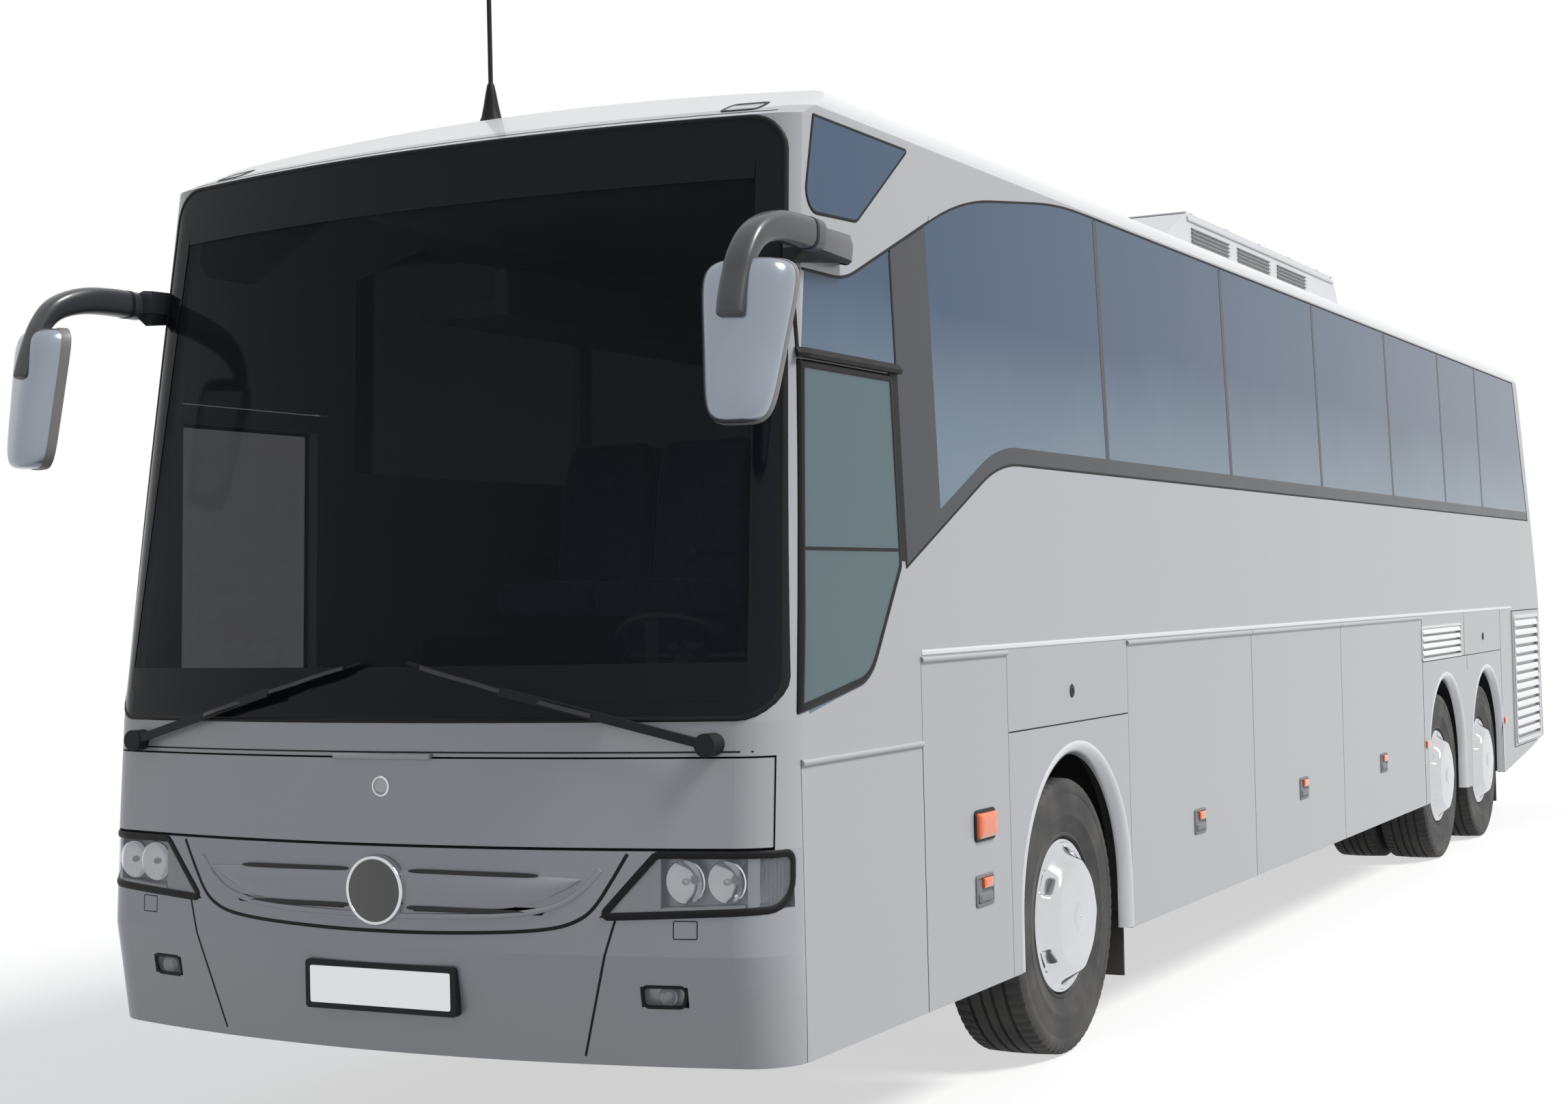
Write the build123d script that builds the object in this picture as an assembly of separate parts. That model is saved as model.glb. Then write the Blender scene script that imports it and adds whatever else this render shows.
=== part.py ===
from build123d import *
import os
from math import cos, radians, sin

# Overall size in millimetres, x to the bus's left, y to its rear, z up
# The front axle is at y zero and the road at z zero
front_overhang = 2620
wheelbase = 6730
bogie_spread = 1340
rear_overhang = 2330
body_width = 2550
roof_z = 3360
sill_z = 396
belt_z = 1550
wall = 50
overrun = 300

# Cross-section of the body: upright to the belt, then leaning in to the roof's edge
shoulder_z = 3225
shoulder_half = 1218
eave_z = 3320
eave_half = 1213
eave_radius = 100

# Front end: heights of the profile's corners and how far each lies behind the foremost
crease_z = 720
mask_z = 1020
strip_z = 1290
screen_z = 1390
header_z = 3200
bumper_tuck = 50
mask_back = 18
screen_back = 50
header_back = 370
dome_z = 3420
dome_back = 906
front_bow = 185
front_corner = 180

# Rear end, read the same way from the rearmost place
tail_z = 580
tail_tuck = 30
belt_back = 70
waist_z = 2270
waist_back = 250
rear_header_back = 480
rear_dome_back = 686
rear_bow = 40
rear_corner = 110
departure_run = 1750
departure_mid_run = 1030
departure_mid_rise = 98

# Panel seams
seam = 6
front_seam_y = -2280
pillar_y = -2175
pillar_z = 2480
pillar_high_y = -2085
pillar_high_z = 2880
pillar_top_y = -1975
pillar_fit = 22
driver_flap_rear_y = -1415
driver_flap_z = 1260
flap_top_z = 1530
hinge_radius = 10
hinge_fit = 0.1
hinge_half = 180
lid_hinge_half = 450
locker_rear_y = -677
arch_panel_rear_y = 601
bay_one_y = 2370
bay_two_y = 4056
bay_end_y = 6045
mid_door_width = 700
mid_door_post = 60
louvre_front_y = 9050
louvre_rear_y = 10150
louvre_bottom_z = 600
louvre_top_z = 1455
louvre_margin = 120
slat_count = 13
slat_share = 0.42
slat_depth = 14
grid_front_y = 6050
grid_rear_y = 7200
grid_bottom_z = 1285
grid_top_z = 1460
grid_count = 4
roof_split_z = 3240

# Wheel arches
arch_half = 585
rear_arch_half = 560
arch_top_z = 1162

# Glazing
glass = 8
pane_gap = 10
frit = 60
frit_post = 45
band_low_z = 2200
band_top_z = 3225
band_front_y = -1485
band_low_front_z = 1830
band_bend_y = -640
band_bend_radius = 900
band_rear_low_y = 9960
band_rear_top_y = 9680
swoosh_front_y = -2105
swoosh_tip_y = -1830
swoosh_tip_radius = 190
swoosh_tip_z = 2720
swoosh_top_y = -560
swoosh_radius = 700
pane_dividers = (510, 2210, 3860, 5510, 7000, 8220)
driver_top_z = 2480
driver_glass_top_z = 2445
driver_rear_y = -1530
driver_low_z = 1830
driver_dip_y = -1800
driver_dip_z = 1480
driver_front_z = 1400
corner_window_front_y = -1940
corner_window_low_y = -2035
corner_window_low_z = 2915
corner_window_rear_y = -1720
corner_window_tip_y = -1300
corner_window_top_z = 3205
screen_half = 1237
screen_top_half = 1165
screen_corner = 110
screen_lap = 8
rear_window_half = 960
rear_window_low_z = 2050
rear_window_top_z = 3000
rear_window_corner = 90

# Front panels
flap_half = 1240
flap_skin = 6
flap_frame = 30
flap_inset = 90
flap_low_gap = 9
grille_half = 740
grille_top_z = 968
grille_low_half = 480
grille_low_z = 765
grille_corner = 220
slot_inner = 130
slot_outer = 600
slot_rise = 22
slot_row_shares = (0.38, 0.74)
badge_radius = 100
badge_z = 890
badge_proud = 12
lamp_inner_low = 745
lamp_inner_top = 915
lamp_low_z = 828
lamp_edge_z = 868
lamp_top_z = 1012
lamp_rear_y = -2330
fog_inner = 861
fog_width = 141
fog_z = 602
fog_height = 60

# Rear panels
lid_half = 900
lid_low_z = 720
lid_top_z = 1490
lid_skin = 30
rear_lamp_x = 1080
rear_lamp_width = 150
rear_lamp_low_z = 760
rear_lamp_top_z = 1420
rear_lamp_depth = 30

# Floors
deck_z = 1300
deck_thick = 40
deck_rear_y = 10100
beam_gap = 14
beam_width = 30
beam_top_z = 1620
low_floor_z = 440
low_floor_thick = 40
bulkhead = 30
front_house_half = 680
rear_house_gap = 30
rail_x = 420
rail_width = 80
rail_low_z = 780
rail_high_z = 960
cockpit_z = 880
cockpit_rear_y = -760
well_half = 260
step_count = 3
step_tread = 260
stair_wall = 30

# Wheels and axles
tyre_radius = 520
tyre_width = 298
tyre_tread_share = 0.86
bead_radius = 288
bead_width = 225
rim_wall = 12
wheel_face_x = 1224
twin_spacing = 335
dish_depth = 60
disc_thick = 16
hub_radius = 140
hub_proud = 30
spindle_radius = 45
running_fit = 0.05
kingpin_x = 860
kingpin_radius = 26
knuckle_width = 110
knuckle_rise = 150
knuckle_gap = 2
drum_radius = 200
drum_width = 90
drum_gap = 12
beam_drop = 60
beam_height = 110
beam_depth = 120
beam_eye_wall = 7
axle_tube_radius = 80
diff_radius = 210
diff_length = 380
spring_radius = 120
spring_x = 420

# Doors
door_front_y = -2160
door_rear_y = -1290
door_top_z = 2470
door_frame = 70
door_post = 90
door_glass_low_z = 640
door_glass_mid_z = 1050
mid_door_top_z = 2180
arm_pivot_in = 130
arm_pivot_x = 1130
arm_length = 430
arm_z = 950
arm_height = 40
arm_width = 36
arm_eye_radius = 32
post_radius = 20
door_swing = 120

# Mirrors, wipers, antenna
mirror_x = 1333
mirror_y = -2630
mirror_low_z = 2225
mirror_height = 465
mirror_width = 290
mirror_depth = 170
mirror_round = 45
mirror_arm_width = 75
mirror_arm_height = 95
mirror_arm_z = 2815
mirror_arm_rear_y = -1900
mirror_arm_bend = 110
wiper_x = 1077
wiper_z = 1325
wiper_boss_radius = 34
wiper_boss_length = 48
wiper_arm_length = 640
wiper_arm_width = 26
wiper_arm_thick = 14
wiper_arm_rise = 160
antenna_y = -1760
antenna_x = -110
antenna_radius = 8
antenna_top_z = 3950
antenna_foot_radius = 32
antenna_foot_height = 40

# Roof unit
cooler_front_y = 2190
cooler_nose_run = 780
cooler_rear_y = 6160
cooler_tail_run = 250
cooler_half = 830
cooler_top_z = 3630
cooler_round = 240
hatch_y = (200, 7600)
hatch_half = 350
hatch_height = 45

# Inside
seat_rows = 12
seat_front_y = -350
seat_pitch = 790
seat_width = 1000
seat_inner_x = 190
seat_base_z = 1700
seat_cushion = 130
seat_depth = 430
seat_back_thick = 110
seat_back_top_z = 2440
seat_back_lean = 130
seat_fit = 0.3
leg_width = 60
leg_inset = 180
rack_half_low = 780
rack_low_z = 2880
rack_thick = 60
rack_front_y = -700
rack_rear_y = 9050
dash_front_gap = 12
dash_top_z = 1420
dash_depth = 620
dash_well_x = 560
dash_well_y = -2210
column_x = 640
column_radius = 45
column_tilt = 35
column_length = 420
column_gap = 0.3
wheel_rim_radius = 235
wheel_rim_tube = 16
wheel_rim_sides = 8
wheel_hub_radius = 50
wheel_centre_y = -1800
wheel_centre_z = 1560
driver_seat_y = -1400
driver_seat_width = 520
driver_seat_base_z = 1250
driver_back_top_z = 2020
driver_pedestal = 150
engine_front_y = 8760
engine_rear_y = 10080
engine_low_z = 520
engine_top_z = 1180
flap_mud_width = 320
mud_outer_x = 1205
flap_mud_thick = 12
flap_mud_low_z = 190

# Places worked out from the sizes above
half_width = body_width / 2
inner_half = half_width - wall
front_y = -front_overhang
drive_y = wheelbase
tag_y = wheelbase + bogie_spread
rear_y = tag_y + rear_overhang
waist_y = wheelbase / 2
wheel_x = wheel_face_x - tyre_width / 2
mid_door_rear_y = bay_end_y - mid_door_post
mid_door_front_y = mid_door_rear_y - mid_door_width
mirror_front_y = mirror_y - mirror_depth / 2
middle_y = (mirror_front_y + rear_y) / 2

# Front profile: height, distance behind the foremost place
front_profile = (
    (sill_z, bumper_tuck),
    (crease_z, 0),
    (mask_z, mask_back),
    (screen_z, screen_back),
    (header_z, header_back),
    (dome_z, dome_back),
)
# Rear profile: height, distance ahead of the rearmost place
rear_profile = (
    (sill_z, tail_tuck),
    (tail_z, 0),
    (belt_z, belt_back),
    (waist_z, waist_back),
    (header_z, rear_header_back),
    (dome_z, rear_dome_back),
)


def block(x0, x1, y0, y1, z0, z1):
    """A box given by the places of its six faces."""
    return Pos((x0 + x1) / 2, (y0 + y1) / 2, (z0 + z1) / 2) * Box(x1 - x0, y1 - y0, z1 - z0)


def along_x(points, x0, x1, radii=None):
    """A prism along x whose outline is a closed chain of (y, z) points, each rounded if radii are given."""
    corners = [(0, y, z) for y, z in points]
    line = FilletPolyline(*corners, radius=radii, close=True) if radii else Polyline(*corners, close=True)
    return Pos(x0, 0, 0) * extrude(make_face(line), x1 - x0, dir=(1, 0, 0))


def along_y(points, y0, y1, radii=None):
    """A prism along y whose outline is a closed chain of (x, z) points."""
    corners = [(x, 0, z) for x, z in points]
    line = FilletPolyline(*corners, radius=radii, close=True) if radii else Polyline(*corners, close=True)
    return Pos(0, y0, 0) * extrude(make_face(line), y1 - y0, dir=(0, 1, 0))


def rod_x(y, z, radius, x0, x1):
    """A round bar along x."""
    return Pos((x0 + x1) / 2, y, z) * (Rot(0, 90, 0) * Cylinder(radius, abs(x1 - x0)))


def rod_y(x, z, radius, y0, y1):
    """A round bar along y."""
    return Pos(x, (y0 + y1) / 2, z) * (Rot(90, 0, 0) * Cylinder(radius, abs(y1 - y0)))


def rod_z(x, y, radius, z0, z1):
    """A round bar along z."""
    return Pos(x, y, (z0 + z1) / 2) * Cylinder(radius, abs(z1 - z0))


def mirrored(shape):
    """The same piece on the bus's other side."""
    return mirror(shape, about=Plane.YZ)


def plan_face(tip_y, bow, corner, inset, to_rear):
    """The plan of one end, from the middle of the wheelbase to a bowed face with round corners."""
    half = half_width - inset
    tip = tip_y - to_rear * inset
    side = tip - to_rear * bow
    outline = [
        ThreePointArc((-half, side), (0, tip), (half, side)),
        Line((half, side), (half, waist_y)),
        Line((half, waist_y), (-half, waist_y)),
        Line((-half, waist_y), (-half, side)),
    ]
    face = make_face(outline)
    ends = face.vertices().sort_by(Axis.Y)
    tips = ends[-2:] if to_rear > 0 else ends[:2]
    return fillet(tips, corner - inset)


def body_end(profile, tip_y, bow, corner, inset, to_rear):
    """One end of the body, a ruled loft through its plan at each height of the profile."""
    sections = []
    for place, (height, back) in enumerate(profile):
        low = inset + overrun if place == 0 and inset > 0 else 0
        high = inset if place == len(profile) - 1 else 0
        face = plan_face(tip_y - to_rear * back, bow, corner, inset, to_rear)
        sections.append(Pos(0, 0, height - low - high) * face)
    return loft(sections, ruled=True)


def body_section(inset):
    """A prism along the whole length with the sides' lean, the roof's crown and its round edges."""
    low = sill_z - inset - 2 * overrun
    lean = (half_width - shoulder_half) / (shoulder_z - belt_z)
    foot = half_width - inset + lean * (belt_z - low)
    shoulder = shoulder_half - inset
    eave = eave_half - inset
    top = eave_z - inset
    right = Polyline((0, 0, low), (foot, 0, low), (shoulder, 0, shoulder_z), (eave, 0, top))
    left = Polyline((-eave, 0, top), (-shoulder, 0, shoulder_z), (-foot, 0, low), (0, 0, low))
    crown = ThreePointArc((eave, 0, top), (0, 0, roof_z - inset), (-eave, 0, top))
    solid = Pos(0, front_y - overrun, 0) * extrude(make_face([right, crown, left]), rear_y - front_y + 2 * overrun, dir=(0, 1, 0))
    edges = solid.edges().filter_by(Axis.Y).sort_by(Axis.Z)[-2:]
    return fillet(edges, eave_radius - inset)


def body_solid(inset):
    """The whole body filled, drawn in all round by the inset."""
    front = body_end(front_profile, front_y, front_bow, front_corner, inset, -1)
    rear = body_end(rear_profile, rear_y, rear_bow, rear_corner, inset, 1)
    section = body_section(inset)
    return (front & section) + (rear & section)


def departure():
    """What is cut away under the tail so that the bus clears a ramp."""
    start = rear_y - departure_run
    bend = start + departure_mid_run
    points = [
        (start, sill_z), (bend, sill_z + departure_mid_rise), (rear_y, tail_z),
        (rear_y + overrun, tail_z), (rear_y + overrun, sill_z - overrun), (start, sill_z - overrun),
    ]
    return along_x(points, -half_width - overrun, half_width + overrun)


outer = body_solid(0) - departure()
core = body_solid(wall)
skin = outer - body_solid(glass)
shell = outer - core

# Regions that part the shell where the real panels meet
far = half_width + overrun
long_front = front_y - overrun
long_rear = rear_y + overrun
tail_seam_y = louvre_rear_y + seam
upper = block(-far, far, long_front, long_rear, roof_split_z, roof_z + overrun)
pillar_line = [
    (front_seam_y, sill_z - overrun), (front_seam_y, screen_z), (pillar_y, pillar_z),
    (pillar_high_y, pillar_high_z), (pillar_top_y, roof_split_z),
]
front_zone = along_x(pillar_line + [(long_front, roof_split_z), (long_front, sill_z - overrun)], -far, far)
tail_line = [
    (tail_seam_y, sill_z - overrun), (tail_seam_y, belt_z), (band_rear_low_y + seam, band_low_z),
    (band_rear_top_y + seam, roof_split_z),
]
rear_zone = along_x(tail_line + [(long_rear, roof_split_z), (long_rear, sill_z - overrun)], -far, far)
side_zone = block(-far, far, long_front, long_rear, sill_z - overrun, roof_split_z) - front_zone - rear_zone


def side_box(front, rear, low, high):
    """A cut through the left wall between two stations and two heights."""
    return block(0, far, front, rear, low, high)


def arch_cut(centre_y, half, grow):
    """The opening of a wheel arch: upright sides and a half-round top."""
    reach = half + grow
    centre_z = arch_top_z - half
    round_top = rod_x(centre_y, centre_z, reach, 0, far)
    return round_top + side_box(centre_y - reach, centre_y + reach, sill_z - overrun, centre_z)


arches = [(0, arch_half), (drive_y, rear_arch_half), (tag_y, rear_arch_half)]

# Window band: the outline of the dark glazing on one side, as (y, z) points with their rounding
band_points = [
    (swoosh_front_y, swoosh_tip_z), (swoosh_tip_y, swoosh_tip_z), (swoosh_top_y, band_top_z),
    (band_rear_top_y, band_top_z), (band_rear_low_y, band_low_z), (band_bend_y, band_low_z),
    (band_front_y, band_low_front_z), (band_front_y, driver_top_z), (pillar_y + pillar_fit, driver_top_z),
]
band_radii = [0, swoosh_tip_radius, swoosh_radius, 0, 0, band_bend_radius, 0, 0, 0]


def rounded_prism(points, radii, x0, x1):
    """A prism along x whose corners are rounded one by one; a radius of zero leaves a corner sharp."""
    face = make_face(Polyline(*[(0, y, z) for y, z in points], close=True))
    solid = extrude(face, x1 - x0, dir=(1, 0, 0))
    for (y, z), radius in zip(points, radii):
        if radius:
            near = solid.edges().filter_by(Axis.X).sort_by_distance((x1 / 2, y, z))[0]
            solid = fillet(near, radius)
    return Pos(x0, 0, 0) * solid


band = rounded_prism(band_points, band_radii, 0, far)

driver_points = [
    (front_seam_y + frit, driver_front_z), (driver_dip_y, driver_dip_z), (driver_rear_y, driver_low_z),
    (driver_rear_y, driver_glass_top_z), (pillar_y + pillar_fit, driver_glass_top_z),
]
driver_radii = [0, swoosh_tip_radius, 0, 0, 0]
driver_window = rounded_prism(driver_points, driver_radii, 0, far)
corner_points = [
    (corner_window_low_y, corner_window_low_z), (corner_window_rear_y, corner_window_low_z),
    (corner_window_tip_y, corner_window_top_z), (corner_window_front_y, corner_window_top_z),
]
corner_window = rounded_prism(corner_points, [frit, frit, 0, 0], 0, far)


def pane_edges():
    """Front and rear station of each pane of the band."""
    places = (band_front_y + frit,) + pane_dividers + (band_rear_low_y,)
    return list(zip(places[:-1], places[1:]))


# Side openings behind the glass: one between each pair of posts, inside the band's border
inner_band = block(0, far, band_front_y + 2 * frit, band_rear_top_y - frit, band_low_z + frit, band_top_z - frit)
sight = None
for front, rear in pane_edges():
    hole = inner_band & block(0, far, front + frit_post, rear - frit_post, sill_z, roof_z)
    sight = hole if sight is None else sight + hole
sight = sight & band

band_layer = skin & band
gaps = None
for place in pane_dividers:
    cut = block(0, far, place - pane_gap / 2, place + pane_gap / 2, belt_z, roof_z)
    gaps = cut if gaps is None else gaps + cut
driver_gap = block(0, far, band_front_y - pane_gap / 2, band_front_y + pane_gap / 2, belt_z, roof_z)
left_panes = band_layer - gaps - driver_gap
driver_pane = skin & driver_window
corner_pane = skin & corner_window
left_glass = left_panes + driver_pane + corner_pane

# Flaps: name, front station, rear station, bottom, top
left_flaps = (
    ("driver_side_flap", front_seam_y, driver_flap_rear_y, sill_z, driver_flap_z),
    ("left_locker_flap", driver_flap_rear_y, locker_rear_y, sill_z, flap_top_z),
    ("luggage_flap_left_1", arch_panel_rear_y, bay_one_y, sill_z, flap_top_z),
    ("luggage_flap_left_2", bay_one_y, bay_two_y, sill_z, flap_top_z),
    ("luggage_flap_left_3", bay_two_y, bay_end_y, sill_z, flap_top_z),
)
right_flaps = (
    ("luggage_flap_right_1", arch_panel_rear_y, bay_one_y, sill_z, flap_top_z),
    ("luggage_flap_right_2", bay_one_y, bay_two_y, sill_z, flap_top_z),
    ("luggage_flap_right_3", bay_two_y, mid_door_front_y - mid_door_post, sill_z, flap_top_z),
)
parts = {}
side_shell = shell & side_zone
left_shell = side_shell & block(0, far, long_front, long_rear, sill_z, roof_z)
arch_openings = None
for centre, half in arches:
    cut = arch_cut(centre, half, 0)
    arch_openings = cut if arch_openings is None else arch_openings + cut


def side_flap(front, rear, low, high):
    """A flap as thick as the wall, hung by a round bead along its top edge, and the hole that it fills."""
    hole = side_box(front, rear, low - overrun, high) + rod_y(half_width, high, hinge_radius + hinge_fit, front, rear)
    flap = left_shell & side_box(front + seam / 2, rear - seam / 2, low - overrun, high - seam)
    bead = rod_y(half_width, high, hinge_radius, front + seam / 2, rear - seam / 2)
    return hole, flap + bead


left_wall = left_shell - arch_openings
right_wall = left_wall
for name, front, rear, low, high in left_flaps:
    hole, parts[name] = side_flap(front, rear, low, high)
    left_wall = left_wall - hole
for name, front, rear, low, high in right_flaps:
    hole, flap = side_flap(front, rear, low, high)
    parts[name] = mirrored(flap)
    right_wall = right_wall - hole

# Radiator flap: swings on its front edge, with a bank of slats
louvre_low_z = louvre_bottom_z - frit
radiator_hole = side_box(louvre_front_y, louvre_rear_y, louvre_low_z, flap_top_z)
radiator_hole = radiator_hole + rod_z(half_width, louvre_front_y, hinge_radius + hinge_fit, louvre_low_z, flap_top_z)
radiator_flap = left_shell & side_box(louvre_front_y + seam, louvre_rear_y - seam / 2, louvre_low_z + seam, flap_top_z - seam)
radiator_flap = radiator_flap + rod_z(half_width, louvre_front_y, hinge_radius, louvre_low_z + seam, flap_top_z - seam)
slat_rise = (louvre_top_z - louvre_bottom_z) / slat_count
for place in range(slat_count):
    slot_low = louvre_bottom_z + place * slat_rise
    radiator_flap = radiator_flap - block(
        half_width - slat_depth, far, louvre_front_y + louvre_margin, louvre_rear_y - louvre_margin / 2,
        slot_low, slot_low + slat_rise * slat_share,
    )
parts["radiator_flap"] = radiator_flap
left_wall = left_wall - radiator_hole

# The small air grid above the drive wheels
grid_rise = (grid_top_z - grid_bottom_z) / grid_count
for place in range(grid_count):
    slot_low = grid_bottom_z + place * grid_rise
    cut = block(half_width - slat_depth, far, grid_front_y, grid_rear_y, slot_low, slot_low + grid_rise * slat_share)
    left_wall = left_wall - cut

left_wall = left_wall - band_layer - sight - driver_window - corner_window
left_low = side_box(locker_rear_y - overrun, louvre_front_y + overrun, sill_z - overrun, flap_top_z)
left_arch_panels = left_wall & left_low
parts["left_side_wall"] = left_wall - left_low

# Right side: the doorways take the place of the driver's window
front_doorway = side_box(door_front_y, door_rear_y, sill_z - overrun, door_top_z)
mid_doorway = side_box(mid_door_front_y, mid_door_rear_y, sill_z - overrun, mid_door_top_z)
door_side = block(0, far, long_front, door_rear_y + door_post, sill_z, driver_top_z)
door_side_sight = block(0, far, long_front, door_rear_y + door_post + frit, sill_z, roof_z)
right_sight = sight - door_side_sight
right_wall = right_wall - (band_layer - door_side) - right_sight - corner_window - front_doorway - mid_doorway
right_low = side_box(door_rear_y - overrun, long_rear, sill_z - overrun, flap_top_z)
parts["right_side_wall"] = mirrored(right_wall - right_low)
parts["arch_panels"] = left_arch_panels + mirrored(right_wall & right_low)
right_glass = (left_panes - door_side) + corner_pane

parts["roof_shell"] = shell & upper


def door_leaf(front, rear, top):
    """A door leaf as thick as the wall, with an upper and a lower light cut through."""
    leaf = left_shell & side_box(front + seam, rear - seam, sill_z - overrun, top - seam)
    lights = block(0, far, front + door_frame, rear - door_frame, door_glass_mid_z, top - door_frame)
    lights = lights + block(0, far, front + door_frame, rear - door_frame, door_glass_low_z, door_glass_mid_z - door_frame)
    return leaf, lights


for name, front, rear, top in (
    ("front_door", door_front_y, door_rear_y, door_top_z),
    ("mid_door", mid_door_front_y, mid_door_rear_y, mid_door_top_z),
):
    leaf, lights = door_leaf(front, rear, top)
    pane = skin & lights
    pivot_y = front + arm_pivot_in
    pin_y = pivot_y + arm_length
    pin_x = arm_pivot_x
    bracket = block(pin_x - post_radius, inner_half, pin_y - arm_width, pin_y + arm_width, arm_z + arm_height, arm_z + 2 * arm_height)
    pin = rod_z(pin_x, pin_y, post_radius, arm_z, arm_z + arm_height)
    eye_clear = rod_z(pin_x, pin_y, post_radius + running_fit, arm_z - overrun, arm_z + overrun)
    leaf = (leaf - lights) + bracket + pin
    post = rod_z(arm_pivot_x, pivot_y, post_radius, low_floor_z, arm_z + arm_height)
    arm = block(pin_x - arm_width / 2, pin_x + arm_width / 2, pivot_y, pin_y, arm_z, arm_z + arm_height - running_fit)
    arm = arm + rod_z(pin_x, pin_y, arm_eye_radius, arm_z, arm_z + arm_height - running_fit)
    arm = arm + rod_z(pin_x, pivot_y, arm_eye_radius, arm_z, arm_z + arm_height - running_fit)
    arm = arm - eye_clear - rod_z(arm_pivot_x, pivot_y, post_radius + running_fit, arm_z - overrun, arm_z + overrun)
    parts[name] = mirrored(leaf)
    parts[name + "_glass"] = mirrored(pane)
    parts[name + "_arm"] = mirrored(arm)
    parts[name + "_post"] = mirrored(post)

# Front: screen, frame, flap, grille, lamps and bumper
front_shell = shell & front_zone
screen_low_z = screen_z + screen_lap
screen_high_z = header_z - screen_lap
screen_hole = along_y(
    [(-screen_half, screen_low_z), (screen_half, screen_low_z), (screen_top_half, screen_high_z), (-screen_top_half, screen_high_z)],
    long_front, pillar_top_y,
)
screen_edges = screen_hole.edges().filter_by(Axis.Y)
screen_hole = fillet(screen_edges, screen_corner) & front_zone
parts["windscreen"] = skin & screen_hole
lower_front = block(-far, far, long_front, front_seam_y, sill_z - overrun, strip_z)
front_mask = front_shell - lower_front - screen_hole

flap_hole = block(-flap_half, flap_half, long_front, 0, mask_z, strip_z)
flap_zone = block(
    -flap_half + seam, flap_half - seam, long_front, front_seam_y, mask_z + flap_low_gap, strip_z - seam,
)
frame_zone = block(
    -flap_half + flap_inset, flap_half - flap_inset, long_front, front_seam_y,
    mask_z + flap_inset, strip_z - flap_inset / 2,
)
flap_layer = outer - body_solid(flap_skin)
flap_back = outer - body_solid(flap_frame)
flap_hinge_y = front_y + mask_back + (screen_back - mask_back) * (strip_z - mask_z) / (screen_z - mask_z)
flap_bead = rod_x(flap_hinge_y, strip_z, hinge_radius, -hinge_half, hinge_half)
flap_seat = rod_x(flap_hinge_y, strip_z, hinge_radius + hinge_fit, -hinge_half - seam, hinge_half + seam)
parts["front_flap"] = (flap_layer & flap_zone) + (flap_back & frame_zone) + flap_bead

lamp_points = [
    (lamp_inner_low, lamp_low_z), (half_width + overrun, lamp_edge_z),
    (half_width + overrun, lamp_top_z), (lamp_inner_top, lamp_top_z),
]
lamp_prism = along_y(lamp_points, long_front, lamp_rear_y)
lamps = lamp_prism + mirrored(lamp_prism)
grille_points = [
    (-grille_half, grille_top_z), (grille_half, grille_top_z),
    (grille_low_half, grille_low_z), (-grille_low_half, grille_low_z),
]
grille_prism = along_y(grille_points, long_front, 0)
low_edges = grille_prism.edges().filter_by(Axis.Y).sort_by(Axis.Z)[:2]
grille_prism = fillet(low_edges, grille_corner)
lower_shell = (shell & lower_front) - block(-far, far, long_front, 0, mask_z, strip_z)
bumper = lower_shell - lamps - grille_prism
side_strips = (shell & lower_front) & block(-far, far, long_front, 0, mask_z, strip_z) - flap_hole
parts["front_mask"] = front_mask + side_strips - flap_seat
fog_hole = block(fog_inner, fog_inner + fog_width, long_front, 0, fog_z - fog_height / 2, fog_z + fog_height / 2)
bumper = bumper - fog_hole - mirrored(fog_hole)
badge = rod_y(0, badge_z, badge_radius, front_y - badge_proud, front_y + wall)
badge = badge - core - flap_hole
parts["front_bumper"] = bumper - badge
grille = (shell & lower_front) & grille_prism
slots = None
for row in slot_row_shares:
    slot_z = grille_low_z + row * (grille_top_z - grille_low_z)
    slot = block(slot_inner, slot_outer, long_front, 0, slot_z - slot_rise / 2, slot_z + slot_rise / 2)
    pair = slot + mirrored(slot)
    slots = pair if slots is None else slots + pair
parts["front_grille"] = (grille - slots) + badge
fog = (shell & lower_front) & (fog_hole + mirrored(fog_hole))
parts["headlamps"] = ((shell & lower_front) & lamps) + fog

# Rear: wall, window, engine lid and lamps
rear_shell = shell & rear_zone
window_hole = along_y(
    [(-rear_window_half, rear_window_low_z), (rear_window_half, rear_window_low_z),
     (rear_window_half, rear_window_top_z), (-rear_window_half, rear_window_top_z)],
    waist_y, long_rear,
)
window_hole = fillet(window_hole.edges().filter_by(Axis.Y), rear_window_corner)
lid_hole = block(-lid_half, lid_half, waist_y, long_rear, lid_low_z, lid_top_z)
lid_zone = block(-lid_half + seam, lid_half - seam, waist_y, long_rear, lid_low_z + seam, lid_top_z - seam)
lid_layer = outer - body_solid(lid_skin)
lid_hinge_y = rear_y - belt_back * (lid_top_z - tail_z) / (belt_z - tail_z)
lid_bead = rod_x(lid_hinge_y, lid_top_z, hinge_radius, -lid_hinge_half, lid_hinge_half)
lid_seat = rod_x(lid_hinge_y, lid_top_z, hinge_radius + hinge_fit, -lid_hinge_half - seam, lid_hinge_half + seam)
parts["engine_lid"] = (lid_layer & rear_zone & lid_zone) + lid_bead
rear_lamp = block(
    rear_lamp_x - rear_lamp_width / 2, rear_lamp_x + rear_lamp_width / 2, waist_y, long_rear,
    rear_lamp_low_z, rear_lamp_top_z,
)
rear_lamps = rear_lamp + mirrored(rear_lamp)
lamp_layer = (outer - body_solid(rear_lamp_depth)) & rear_zone
parts["rear_lamps"] = lamp_layer & rear_lamps
parts["rear_wall"] = rear_shell - window_hole - lid_hole - lid_seat - (lamp_layer & rear_lamps)
rear_glass = skin & rear_zone & window_hole

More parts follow.
